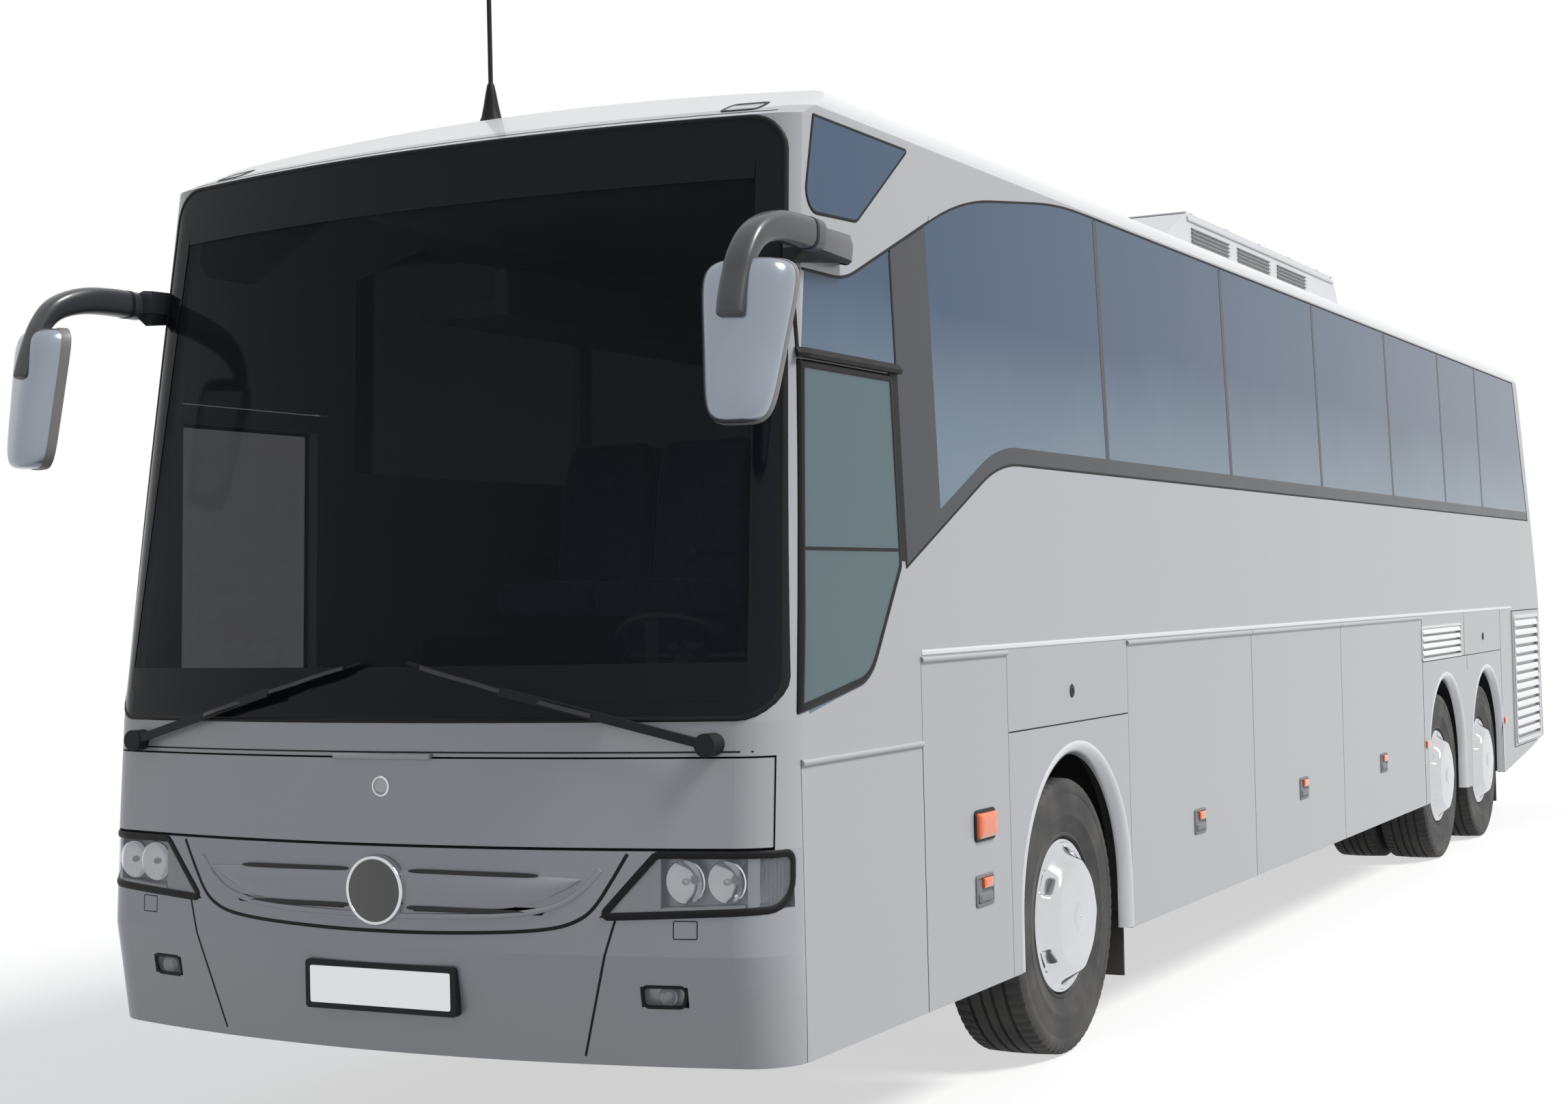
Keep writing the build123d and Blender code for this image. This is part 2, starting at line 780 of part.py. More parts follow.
parts["window_glass"] = left_glass + mirrored(right_glass) + rear_glass

# Floors: the passenger deck with upright edge beams behind the flaps
beam_x = inner_half - beam_gap
beam_low_z = belt_z + seam
side_lean = (half_width - shoulder_half) / (shoulder_z - belt_z)
flange_low_x = inner_half - side_lean * seam
flange_top_x = inner_half - side_lean * (beam_top_z - belt_z)
deck_points = [
    (-flange_low_x, beam_low_z), (-flange_top_x, beam_top_z), (-beam_x + beam_width, beam_top_z),
    (-beam_x + beam_width, deck_z), (beam_x - beam_width, deck_z), (beam_x - beam_width, beam_top_z),
    (flange_top_x, beam_top_z), (flange_low_x, beam_low_z), (beam_x, beam_low_z),
    (beam_x, deck_z - deck_thick), (-beam_x, deck_z - deck_thick), (-beam_x, beam_low_z),
]
well_inner_x = -beam_x + (step_count + 1) * step_tread
deck = along_y(deck_points, cockpit_rear_y, deck_rear_y)
parts["deck_floor"] = deck - block(-far, well_inner_x, mid_door_front_y, mid_door_rear_y, low_floor_z, beam_top_z + overrun)


def cross_wall(y0, y1, low, high):
    """A wall across the body between the flaps' backs."""
    return block(-beam_x, beam_x, y0, y1, low, high)


deck_under_z = deck_z - deck_thick
floor_low_z = low_floor_z - low_floor_thick
rear_house_front_y = drive_y - rear_arch_half - rear_house_gap
rear_house_rear_y = tag_y + rear_arch_half + rear_house_gap
frame = cross_wall(front_house_half, rear_house_front_y, floor_low_z, low_floor_z)
for wall_front in (front_house_half, rear_house_front_y - bulkhead, rear_house_rear_y):
    frame = frame + cross_wall(wall_front, wall_front + bulkhead, floor_low_z, deck_under_z)
front_wall_y = -front_house_half - bulkhead
frame = frame + cross_wall(front_wall_y, -front_house_half, floor_low_z, deck_under_z)
front_bay_y = front_seam_y + wall
frame = frame + cross_wall(front_bay_y, front_wall_y, floor_low_z, low_floor_z)
cockpit = block(-well_half, beam_x, front_bay_y, cockpit_rear_y, cockpit_z - low_floor_thick, cockpit_z)
cockpit_wall = block(-well_half - bulkhead, -well_half, front_bay_y, cockpit_rear_y, low_floor_z, cockpit_z)
frame = frame + cockpit + cockpit_wall
step_rise = (deck_z - low_floor_z) / (step_count + 1)
for place in range(step_count):
    x0 = -beam_x + (place + 1) * step_tread
    frame = frame + block(
        x0, x0 + bulkhead, mid_door_front_y, mid_door_rear_y, low_floor_z, low_floor_z + (place + 1) * step_rise,
    )
    frame = frame + block(
        x0, x0 + step_tread, mid_door_front_y, mid_door_rear_y,
        low_floor_z + (place + 1) * step_rise - bulkhead, low_floor_z + (place + 1) * step_rise,
    )
for well_y in (mid_door_front_y - stair_wall, mid_door_rear_y):
    frame = frame + block(-beam_x, well_inner_x, well_y, well_y + stair_wall, low_floor_z, deck_under_z)
frame = frame + block(well_inner_x - stair_wall, well_inner_x, mid_door_front_y, mid_door_rear_y, low_floor_z, deck_under_z)
for side in (-1, 1):
    rail_in = side * rail_x - rail_width / 2
    frame = frame + block(rail_in, rail_in + rail_width, front_wall_y, front_house_half, rail_low_z, rail_high_z)
    frame = frame + block(rail_in, rail_in + rail_width, rear_house_front_y, engine_rear_y, rail_low_z, rail_high_z)
parts["underframe"] = frame + parts.pop("front_door_post") + parts.pop("mid_door_post")

# Engine: one plain block between the rear rails
parts["engine_block"] = block(
    -rail_x + rail_width / 2, rail_x - rail_width / 2, engine_front_y, engine_rear_y, engine_low_z, engine_top_z,
)


def tyre(centre_x, inner_shoulder=1, outer_shoulder=1):
    """A tyre turned about its axle: bead, side wall, shoulder and tread; a shoulder of zero is left square."""
    half = tyre_width / 2
    bead = bead_width / 2
    drop = (tyre_radius - bead_radius) * (1 - tyre_tread_share)
    inner = drop * inner_shoulder
    outer_drop = drop * outer_shoulder
    points = [(bead, bead_radius), (half, tyre_radius - outer_drop), (half - outer_drop, tyre_radius)]
    points += [(-half + inner, tyre_radius), (-half, tyre_radius - inner), (-bead, bead_radius)]
    corners = [place for number, place in enumerate(points) if place not in points[:number]]
    return Pos(centre_x, 0, 0) * revolve(make_face(Polyline(*corners, close=True)), Axis.X)


def rim(centre_x, face_out, bore):
    """A steel wheel: barrel, drop centre and a disc; its hub takes the spindle or the axle tube."""
    half = bead_width / 2
    barrel = rod_x(0, 0, bead_radius, centre_x - half, centre_x + half)
    barrel = barrel - rod_x(0, 0, bead_radius - rim_wall, centre_x - half - overrun, centre_x + half + overrun)
    face_x = centre_x + face_out * (half - dish_depth)
    disc = rod_x(0, 0, bead_radius - rim_wall, face_x - disc_thick / 2, face_x + disc_thick / 2)
    return barrel + disc - rod_x(0, 0, bore, centre_x - overrun, centre_x + overrun)


def at_axle(shape, y):
    """Sets a wheel drawn about the x axis on its axle's line."""
    return Pos(0, y, tyre_radius) * shape


spindle_in_x = kingpin_x + knuckle_width / 2
hub = rod_x(0, 0, hub_radius, wheel_x - bead_width / 2, wheel_x + bead_width / 2 + hub_proud)
bore = rod_x(0, 0, spindle_radius + running_fit, wheel_x - overrun, wheel_x + bead_width / 2)
single_rim = rim(wheel_x, 1, hub_radius - disc_thick) + (hub - bore)
inner_x = wheel_x - twin_spacing
twin_tyres = tyre(wheel_x, 0, 1) + tyre(inner_x, 0, 0)
twin_hub = rod_x(0, 0, hub_radius, inner_x - bead_width / 2, wheel_x + bead_width / 2)
twin_bore = rod_x(0, 0, spindle_radius + running_fit, inner_x - overrun, wheel_x + bead_width / 2 - hub_proud)
twin_rims = rim(wheel_x, -1, hub_radius - disc_thick) + rim(inner_x, 1, hub_radius - disc_thick) + (twin_hub - twin_bore)

for name, y, tyres, rims in (
    ("front", 0, tyre(wheel_x), single_rim),
    ("drive", drive_y, twin_tyres, twin_rims),
    ("tag", tag_y, tyre(wheel_x), single_rim),
):
    parts[name + "_left_tyre"] = at_axle(tyres, y)
    parts[name + "_right_tyre"] = at_axle(mirrored(tyres), y)
    parts[name + "_left_rim"] = at_axle(rims, y)
    parts[name + "_right_rim"] = at_axle(mirrored(rims), y)

# Knuckle: an upright on the kingpin with the spindle that the hub turns on
spindle_end_x = wheel_x + bead_width / 2 - hub_proud
upright = block(
    spindle_in_x - knuckle_width, spindle_in_x, -knuckle_width / 2, knuckle_width / 2, -knuckle_rise, knuckle_rise,
)
beam_slot = block(
    spindle_in_x - knuckle_width - overrun, spindle_in_x - disc_thick, -knuckle_width, knuckle_width,
    -beam_height / 2 - knuckle_gap, beam_height / 2 + knuckle_gap,
)
kingpin = rod_z(kingpin_x, 0, kingpin_radius, -knuckle_rise, knuckle_rise)
knuckle = (upright - beam_slot) + kingpin + rod_x(0, 0, spindle_radius, spindle_in_x, spindle_end_x)
drum = rod_x(0, 0, drum_radius, spindle_in_x, wheel_x - bead_width / 2 - drum_gap)
knuckle = knuckle + (drum - rod_x(0, 0, spindle_radius, spindle_in_x, wheel_x))
parts["left_knuckle"] = at_axle(knuckle, 0)
parts["right_knuckle"] = at_axle(mirrored(knuckle), 0)

# Front axle: a beam between the kingpins, dropped in the middle
beam_end_x = kingpin_x - kingpin_radius / 2
beam_flat_x = kingpin_x - knuckle_width
low_top = beam_height / 2 - beam_drop
beam_right = [
    (spring_x, low_top - beam_height), (beam_flat_x, -beam_height / 2), (beam_end_x, -beam_height / 2),
    (beam_end_x, beam_height / 2), (beam_flat_x, beam_height / 2), (spring_x, low_top),
]
beam_points = beam_right + [(-x, z) for x, z in reversed(beam_right)]
axle_beam = along_y(beam_points, -beam_depth / 2, beam_depth / 2)
eye = rod_z(kingpin_x, 0, kingpin_radius + beam_eye_wall, -beam_height / 2, beam_height / 2)
axle_beam = axle_beam + eye + mirrored(eye)
pin_hole = rod_z(kingpin_x, 0, kingpin_radius + running_fit, -overrun, overrun)
parts["front_axle"] = at_axle(axle_beam - pin_hole - mirrored(pin_hole), 0)

# Rear axles: a driven one with its differential and a plain tag axle
tube_end_x = inner_x - bead_width / 2 - drum_gap - drum_width
drive_tube = rod_x(0, 0, axle_tube_radius, -tube_end_x, tube_end_x)
drive_tube = drive_tube + rod_x(0, 0, spindle_radius, -spindle_end_x, spindle_end_x)
differential = Sphere(diff_radius) & rod_y(0, 0, diff_radius, -diff_length, diff_length)
tag_tube = rod_x(0, 0, axle_tube_radius, -spindle_in_x, spindle_in_x)
tag_tube = tag_tube + rod_x(0, 0, spindle_radius, -spindle_end_x, spindle_end_x)
for side in (-1, 1):
    drum_in = side * tube_end_x
    drum_out = side * (tube_end_x + drum_width)
    drive_tube = drive_tube + rod_x(0, 0, drum_radius, min(drum_in, drum_out), max(drum_in, drum_out))
    drum_in = side * spindle_in_x
    drum_out = side * (wheel_x - bead_width / 2 - drum_gap)
    tag_tube = tag_tube + rod_x(0, 0, drum_radius, min(drum_in, drum_out), max(drum_in, drum_out))
parts["rear_axles"] = at_axle(drive_tube + differential, drive_y) + at_axle(tag_tube, tag_y)

# Air springs between the axles and the rails
springs = None
carriers = parts["front_axle"] + parts["rear_axles"]
for y, seat_z in ((0, tyre_radius + low_top), (drive_y, tyre_radius), (tag_y, tyre_radius)):
    for side in (-1, 1):
        spring = rod_z(side * spring_x, y, spring_radius, seat_z, rail_low_z) - carriers
        springs = spring if springs is None else springs + spring
parts["air_springs"] = springs

# Mirrors: a head on a black arm that comes off the side below the corner window
head = block(
    mirror_x - mirror_width / 2, mirror_x + mirror_width / 2, mirror_front_y, mirror_front_y + mirror_depth,
    mirror_low_z, mirror_low_z + mirror_height,
)
head = fillet(head.edges(), mirror_round)
arm_low_z = mirror_arm_z - mirror_arm_height / 2
arm_high_z = mirror_arm_z + mirror_arm_height / 2
arm_front_y = mirror_y - mirror_arm_height / 2
arm_points = [
    (mirror_arm_rear_y, arm_high_z), (arm_front_y, arm_high_z), (arm_front_y, mirror_low_z + mirror_height),
    (arm_front_y + mirror_arm_height, mirror_low_z + mirror_height), (arm_front_y + mirror_arm_height, arm_low_z),
    (mirror_arm_rear_y, arm_low_z),
]
arm_solid = rounded_prism(
    arm_points, [0, mirror_arm_bend, 0, 0, mirror_round, 0],
    mirror_x - mirror_arm_width / 2, mirror_x + mirror_arm_width / 2,
)
bracket = block(
    shoulder_half, mirror_x, mirror_arm_rear_y - mirror_depth - mirror_height / 4, mirror_arm_rear_y, arm_low_z, arm_high_z,
)
arm_solid = (arm_solid + bracket) - outer - head
parts["mirror_heads"] = head + mirrored(head)
parts["mirror_arms"] = arm_solid + mirrored(arm_solid)


def screen_face_y(x, z):
    """The place of the windscreen's outer face at a point of the front view."""
    bow = front_bow * (x / half_width) ** 2
    back = screen_back + (header_back - screen_back) * (z - screen_z) / (header_z - screen_z)
    return front_y + back + bow


# Wipers: a boss near each corner of the strip, with an arm lying towards the middle
wipers = None
for side in (-1, 1):
    pivot_x = side * wiper_x
    face_y = screen_face_y(pivot_x, wiper_z)
    boss = rod_y(pivot_x, wiper_z, wiper_boss_radius, face_y - wiper_boss_length, face_y + wiper_boss_length) - outer
    end_x = pivot_x - side * wiper_arm_length
    end_z = wiper_z + wiper_arm_rise
    end_y = screen_face_y(end_x, end_z) - wiper_boss_length
    start = Vector(pivot_x, face_y - wiper_boss_length + wiper_arm_thick, wiper_z)
    path = Line(start, (end_x, end_y, end_z))
    arm_bar = sweep(Plane(start, z_dir=path % 0) * Rectangle(wiper_arm_width, wiper_arm_thick), path)
    wiper = boss + (arm_bar - outer)
    wipers = wiper if wipers is None else wipers + wiper
parts["wipers"] = wipers

# Antenna on the roof's front
antenna = rod_z(antenna_x, antenna_y, antenna_radius, roof_z - wall, antenna_top_z)
foot = Pos(antenna_x, antenna_y, roof_z - wall) * Cone(
    antenna_foot_radius, antenna_radius, antenna_foot_height + wall, align=(Align.CENTER, Align.CENTER, Align.MIN),
)
parts["antenna"] = (antenna + foot) - outer

# Roof unit: a long housing with a sloping nose
cooler_points = [
    (cooler_front_y, eave_z - wall), (cooler_front_y + cooler_nose_run, cooler_top_z),
    (cooler_rear_y - cooler_tail_run, cooler_top_z), (cooler_rear_y, eave_z - wall),
]
cooler = along_x(cooler_points, -cooler_half, cooler_half)
cooler = fillet(cooler.edges().filter_by(Axis.X).sort_by(Axis.Z)[-2:], cooler_round)
hatches = None
for place in hatch_y:
    hatch = block(-hatch_half, hatch_half, place - hatch_half, place + hatch_half, roof_z - wall, roof_z + hatch_height)
    hatches = hatch if hatches is None else hatches + hatch
parts["roof_units"] = (cooler - outer) + (hatches - outer)

# Seats: rows of pairs, each a cushion and a leaning back, on a plinth that stands on the deck
def seat_form(y, base_z, top_z, x0, x1):
    """A cushion and the back behind it, leaning to the rear, as two pads with a fine gap between."""
    cushion = block(x0, x1, y, y + seat_depth - seat_fit, base_z, base_z + seat_cushion)
    back_y = y + seat_depth
    back_points = [
        (back_y, base_z), (back_y, base_z + seat_cushion), (back_y + seat_back_lean, top_z),
        (back_y + seat_back_lean + seat_back_thick, top_z), (back_y + seat_back_thick, base_z),
    ]
    return cushion + along_x(back_points, x0, x1)


seats = None
legs = None
for row in range(seat_rows):
    y = seat_front_y + row * seat_pitch
    seat = seat_form(y, seat_base_z, seat_back_top_z, seat_inner_x, seat_inner_x + seat_width - leg_width)
    leg = block(
        seat_inner_x + leg_inset, seat_inner_x + leg_inset + leg_width, y + leg_width, y + seat_depth, deck_z,
        seat_base_z - seat_fit,
    )
    beside_door = mid_door_front_y < y + seat_depth and y < mid_door_rear_y + seat_depth
    pair = seat if beside_door else seat + mirrored(seat)
    leg_pair = leg if beside_door else leg + mirrored(leg)
    seats = pair if seats is None else seats + pair
    legs = leg_pair if legs is None else legs + leg_pair
driver_left_x = column_x - driver_seat_width / 2
driver_seat = seat_form(driver_seat_y, driver_seat_base_z, driver_back_top_z, driver_left_x, driver_left_x + driver_seat_width)
pedestal = block(
    column_x - driver_pedestal, column_x + driver_pedestal, driver_seat_y + leg_width, driver_seat_y + seat_depth,
    cockpit_z, driver_seat_base_z - seat_fit,
)
parts["seats"] = seats + driver_seat
parts["seat_legs"] = legs + pedestal

# Luggage racks along the roof's edges
rack_points = [
    (rack_half_low, rack_low_z), (inner_half, rack_low_z), (inner_half, rack_low_z + rack_thick),
    (rack_half_low + rack_thick, rack_low_z + rack_thick), (rack_half_low + rack_thick, rack_low_z + 3 * rack_thick),
    (rack_half_low, rack_low_z + 3 * rack_thick),
]
rack = along_y(rack_points, rack_front_y, rack_rear_y) & core
parts["luggage_racks"] = rack + mirrored(rack)

# Dashboard and steering column
dash_points = [
    (front_y, cockpit_z), (front_y, dash_top_z), (front_y + dash_depth, dash_top_z), (front_y + dash_depth, cockpit_z),
]
dash = along_x(dash_points, -inner_half, inner_half) & body_solid(wall + dash_front_gap)
dash = dash - block(-far, -dash_well_x, dash_well_y, 0, cockpit_z, dash_top_z)
axis_dir = Vector(0, sin(radians(column_tilt)), cos(radians(column_tilt)))
hub_centre = Vector(column_x, wheel_centre_y, wheel_centre_z)
column_plane = Plane(hub_centre, x_dir=(1, 0, 0), z_dir=axis_dir)
column = column_plane * Pos(0, 0, -column_length / 2 - wheel_rim_tube - column_gap) * Cylinder(column_radius, column_length)
parts["dashboard"] = dash + column
ring_section = Plane.XZ * Pos(wheel_rim_radius, 0) * RegularPolygon(wheel_rim_tube, wheel_rim_sides)
ring = column_plane * revolve(ring_section, Axis.Z)
hub_disc = column_plane * Cylinder(wheel_hub_radius, wheel_rim_tube * 2)
spokes = column_plane * (Box(2 * wheel_rim_radius, wheel_rim_tube, wheel_rim_tube))
spokes = spokes + column_plane * Pos(0, -wheel_rim_radius / 2, 0) * Box(wheel_rim_tube, wheel_rim_radius, wheel_rim_tube)
parts["steering_wheel"] = ring + hub_disc + spokes

# Mudflaps behind the front and the tag wheels
mud = None
for carrier_y in (front_house_half, rear_house_rear_y):
    sheet = block(
        mud_outer_x - flap_mud_width, mud_outer_x, carrier_y - flap_mud_thick, carrier_y,
        flap_mud_low_z, low_floor_z + wall,
    )
    pair = sheet + mirrored(sheet)
    mud = pair if mud is None else mud + pair
parts["mudflaps"] = mud

os.makedirs("parts", exist_ok=True)
for name, shape in parts.items():
    export_step(Pos(0, -middle_y, 0) * shape, "parts/" + name + ".step")
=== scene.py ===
import bmesh
import bpy
import numpy as np
from mathutils import Matrix, Vector


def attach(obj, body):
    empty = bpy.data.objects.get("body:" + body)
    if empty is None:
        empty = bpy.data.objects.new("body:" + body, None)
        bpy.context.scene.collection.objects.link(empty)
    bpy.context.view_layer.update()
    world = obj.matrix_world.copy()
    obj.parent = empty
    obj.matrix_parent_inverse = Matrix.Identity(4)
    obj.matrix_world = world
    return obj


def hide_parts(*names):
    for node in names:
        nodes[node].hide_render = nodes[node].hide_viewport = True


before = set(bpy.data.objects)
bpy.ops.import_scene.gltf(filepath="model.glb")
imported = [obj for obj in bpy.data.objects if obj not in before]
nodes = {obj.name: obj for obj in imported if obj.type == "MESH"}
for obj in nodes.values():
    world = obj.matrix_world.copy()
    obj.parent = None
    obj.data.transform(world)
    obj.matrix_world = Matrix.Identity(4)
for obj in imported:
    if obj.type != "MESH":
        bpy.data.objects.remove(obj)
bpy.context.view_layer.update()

# The view: from eye height, ahead of the left front corner, looking back along the coach's
# left side. The lens is long enough that the sides hardly converge.
eye = np.array([4.3403, -12.1095, 1.736])
yaw, pitch, roll = 0.4783, 0.0205, -0.024
sensor_width, focal_pixels, image_width = 36, 3394.97, 2296
ahead = np.array([-np.sin(yaw) * np.cos(pitch), np.cos(yaw) * np.cos(pitch), np.sin(pitch)])
right = np.cross(ahead, [0, 0, 1])
right /= np.linalg.norm(right)
above = np.cross(right, ahead)
tilted_right = np.cos(roll) * right + np.sin(roll) * above
tilted_above = -np.sin(roll) * right + np.cos(roll) * above
turned_axes = np.stack([tilted_right, tilted_above, -ahead], 1)
camera = bpy.data.objects.new("camera", bpy.data.cameras.new("camera"))
camera.matrix_world = Matrix([[*row, place] for row, place in zip(turned_axes, eye)] + [[0, 0, 0, 1]])
camera.data.sensor_width = sensor_width
camera.data.lens = sensor_width * focal_pixels / image_width
scene = bpy.context.scene
scene.collection.objects.link(camera)
scene.camera = camera

# The stage: a pale floor that fades into a white surround, one broad lamp high on the
# coach's left and the even light of the room. The floor keeps the coach's shadow.
floor_reach, floor_tone, floor_glow = 90.0, 0.34, 0.62
lamp_strength, lamp_spread, lamp_from = 3.6, 0.35, (-0.62, -0.10, -0.775)
room_strength = 0.30


def feed(tree, made, inputs):
    """Sets a node's inputs: each is a value or another node's output."""
    for name, value in inputs.items():
        if isinstance(value, bpy.types.NodeSocket):
            tree.links.new(value, made.inputs[name])
        else:
            made.inputs[name].default_value = value
    return made


def node(tree, kind, inputs, **settings):
    """A new shader node with its settings and its inputs."""
    made = tree.nodes.new("ShaderNode" + kind)
    for name, value in settings.items():
        setattr(made, name, value)
    return feed(tree, made, inputs)


def seen_straight(tree):
    """1 for a ray from the camera, or one mirrored or let through by a surface."""
    path = tree.nodes.new("ShaderNodeLightPath").outputs
    seen = path["Is Camera Ray"]
    for way in ("Is Glossy Ray", "Is Transmission Ray"):
        seen = node(tree, "Math", {0: seen, 1: path[way]}, operation="ADD", use_clamp=True).outputs[0]
    return seen


scene.view_settings.view_transform = "Standard"
world = bpy.data.worlds.new("room")
scene.world = world
world.use_nodes = True
tree = world.node_tree
tree.nodes.clear()
room = node(tree, "Background", {"Color": (0.80, 0.88, 1.0, 1), "Strength": room_strength})
backdrop = node(tree, "Background", {"Color": (1, 1, 1, 1), "Strength": 1.0})
mix = node(tree, "MixShader", {0: seen_straight(tree), 1: room.outputs[0], 2: backdrop.outputs[0]})
node(tree, "OutputWorld", {0: mix.outputs[0]})

floor_mesh = bpy.data.meshes.new("floor")
floor_corners = [(x * floor_reach, y * floor_reach, 0) for x, y in ((-1, -1), (1, -1), (1, 1), (-1, 1))]
floor_mesh.from_pydata(floor_corners, [], [(0, 1, 2, 3)])
floor = bpy.data.objects.new("floor", floor_mesh)
scene.collection.objects.link(floor)
floor_paint = bpy.data.materials.new("pale_floor")
floor_paint.use_nodes = True
tree = floor_paint.node_tree
matt = {"Base Color": (floor_tone, floor_tone, floor_tone, 1), "Roughness": 0.9, "Specular IOR Level": 0.0}
floor_shader = feed(tree, tree.nodes["Principled BSDF"], matt)
glow = node(tree, "Emission", {"Strength": floor_glow})
black = node(tree, "Emission", {"Strength": 0.0})
gate = node(tree, "MixShader", {0: seen_straight(tree), 1: black.outputs[0], 2: glow.outputs[0]})
both_lights = node(tree, "AddShader", {0: floor_shader.outputs[0], 1: gate.outputs[0]})
feed(tree, tree.nodes["Material Output"], {0: both_lights.outputs[0]})
floor_mesh.materials.append(floor_paint)

key = bpy.data.objects.new("key_lamp", bpy.data.lights.new("key_lamp", "SUN"))
key.data.energy = lamp_strength
key.data.angle = lamp_spread
key.data.color = (1.0, 0.985, 0.96)
key.rotation_euler = Vector(lamp_from).to_track_quat("-Z", "Y").to_euler()
scene.collection.objects.link(key)

# Body paint. The shell's panels are pressed steel and moulded plastic in one silver enamel
# with fine bright flakes under a clear coat. Road dust lies along the sills.


def finish(name, colour, roughness, metallic=0.0, coat=0.0, drift=0.05, drift_size=0.9,
           grain=0.0, grain_size=0.002, dust=0.0, dust_top=1.0, specular=0.5, sheen=0.0):
    """A finish worked out from the place on the coach: a slow noise drifts the colour and the
    roughness, a fine noise gives the grain its relief, and dust thickens towards the road."""
    paint = bpy.data.materials.new(name)
    paint.use_nodes = True
    tree = paint.node_tree
    place = tree.nodes.new("ShaderNodeTexCoord").outputs["Object"]
    slow = node(tree, "TexNoise", {"Scale": 1 / drift_size, "Detail": 5, "Vector": place}).outputs["Fac"]
    darker, lighter = [[min(1, c * (1 + way * drift)) for c in colour] + [1] for way in (-1, 1)]
    shade = node(tree, "Mix", {"Factor": slow, "A": darker, "B": lighter}, data_type="RGBA").outputs["Result"]
    if dust:
        height = node(tree, "SeparateXYZ", {0: place}).outputs["Z"]
        span = {"From Min": dust_top, "From Max": 0.15, "To Max": dust * 2, "Value": height}
        thick = node(tree, "MapRange", span)
        patch = node(tree, "Math", {0: thick.outputs[0], 1: slow}, operation="MULTIPLY", use_clamp=True)
        dusty = {"Factor": patch.outputs[0], "A": shade, "B": (0.36, 0.33, 0.29, 1)}
        shade = node(tree, "Mix", dusty, data_type="RGBA").outputs["Result"]
    limits = {"To Min": max(0.02, roughness * 0.85), "To Max": min(1, roughness * 1.2), "Value": slow}
    shader = feed(tree, tree.nodes["Principled BSDF"], {
        "Base Color": shade, "Roughness": node(tree, "MapRange", limits).outputs[0], "Metallic": metallic,
        "Specular IOR Level": specular, "Coat Weight": coat, "Coat Roughness": 0.06, "Sheen Weight": sheen})
    if grain:
        fine = node(tree, "TexNoise", {"Scale": 1 / grain_size, "Detail": 3, "Vector": place}).outputs["Fac"]
        relief = node(tree, "Bump", {"Strength": grain, "Distance": grain_size * 0.4, "Height": fine})
        feed(tree, shader, {"Normal": relief.outputs[0]})
    return paint


def wear(name, paint):
    """Gives a carried-over solid its finish."""
    mesh = nodes[name].data
    mesh.materials.clear()
    mesh.materials.append(paint)


silver = finish("silver_enamel", (0.40, 0.41, 0.43), 0.42, metallic=0.14, coat=0.30, drift=0.03,
                drift_size=1.6, grain=0.05, grain_size=0.0012, dust=0.16, dust_top=0.9, specular=0.4)
# The roof wears a lighter copy of the silver enamel: painted light, as the roof's top is lit from above.
lit_roof_silver = finish("roof_enamel_lit", (0.62, 0.63, 0.64), 0.45, metallic=0.12, coat=0.3, drift=0.04,
                     drift_size=0.8, grain=0.05, grain_size=0.0012)
bumper_silver = finish("bumper_enamel", (0.36, 0.37, 0.395), 0.40, metallic=0.14, coat=0.35, drift=0.05,
                       drift_size=0.5, grain=0.08, grain_size=0.0015, dust=0.2, dust_top=0.70, specular=0.4)
body_panels = [
    "left_side_wall", "right_side_wall", "front_mask", "rear_wall", "front_flap", "driver_side_flap",
    "left_locker_flap", "radiator_flap", "engine_lid", "front_door", "mid_door", "arch_panels",
]
body_panels += ["luggage_flap_%s_%d" % (side, place) for side in ("left", "right") for place in (1, 2, 3)]
for panel in body_panels:
    wear(panel, silver)
wear("roof_shell", lit_roof_silver)
wear("front_bumper", bumper_silver)
wear("front_grille", bumper_silver)

# Roof unit and hatches: white gel-coated mouldings, chalky from the weather.
gel_coat = finish("white_gel_coat", (0.62, 0.63, 0.65), 0.42, coat=0.2, drift=0.05, grain=0.1,
                  grain_size=0.003)
wear("roof_units", gel_coat)

# Plain black mouldings and rubber sheet: wipers, aerial, door arms and mudflaps.
black_moulding = finish("black_moulding", (0.014, 0.015, 0.017), 0.5, drift=0.25, drift_size=0.3, grain=0.25,
                        specular=0.2)
rubber_sheet = finish("rubber_sheet", (0.02, 0.02, 0.021), 0.75, drift=0.3, drift_size=0.15, grain=0.5,
                      grain_size=0.004, dust=0.35, dust_top=0.55)
for name in ("wipers", "antenna", "front_door_arm", "mid_door_arm"):
    wear(name, black_moulding)
for name in ("mudflaps", "air_springs"):
    wear(name, rubber_sheet)

# Running gear and frame: dark chassis enamel over steel, cast parts rougher, all dusty.
chassis_black = finish("chassis_enamel", (0.035, 0.036, 0.04), 0.6, drift=0.3, drift_size=0.4, grain=0.3,
                       grain_size=0.004, dust=0.5, dust_top=1.0)
iron = finish("cast_iron", (0.075, 0.073, 0.072), 0.68, metallic=0.3, drift=0.35, drift_size=0.12, grain=0.7,
              grain_size=0.005, dust=0.4)
wheel_steel = finish("wheel_steel", (0.42, 0.43, 0.45), 0.38, metallic=0.75, drift=0.15, drift_size=0.1,
                     grain=0.2, dust=0.3, dust_top=0.6)
wear("underframe", chassis_black)
for name in ("engine_block", "front_axle", "rear_axles", "left_knuckle", "right_knuckle"):
    wear(name, iron)
for axle in ("front", "drive", "tag"):
    for side in ("left", "right"):
        wear("%s_%s_rim" % (axle, side), wheel_steel)
        wear("%s_%s_tyre" % (axle, side), rubber_sheet)

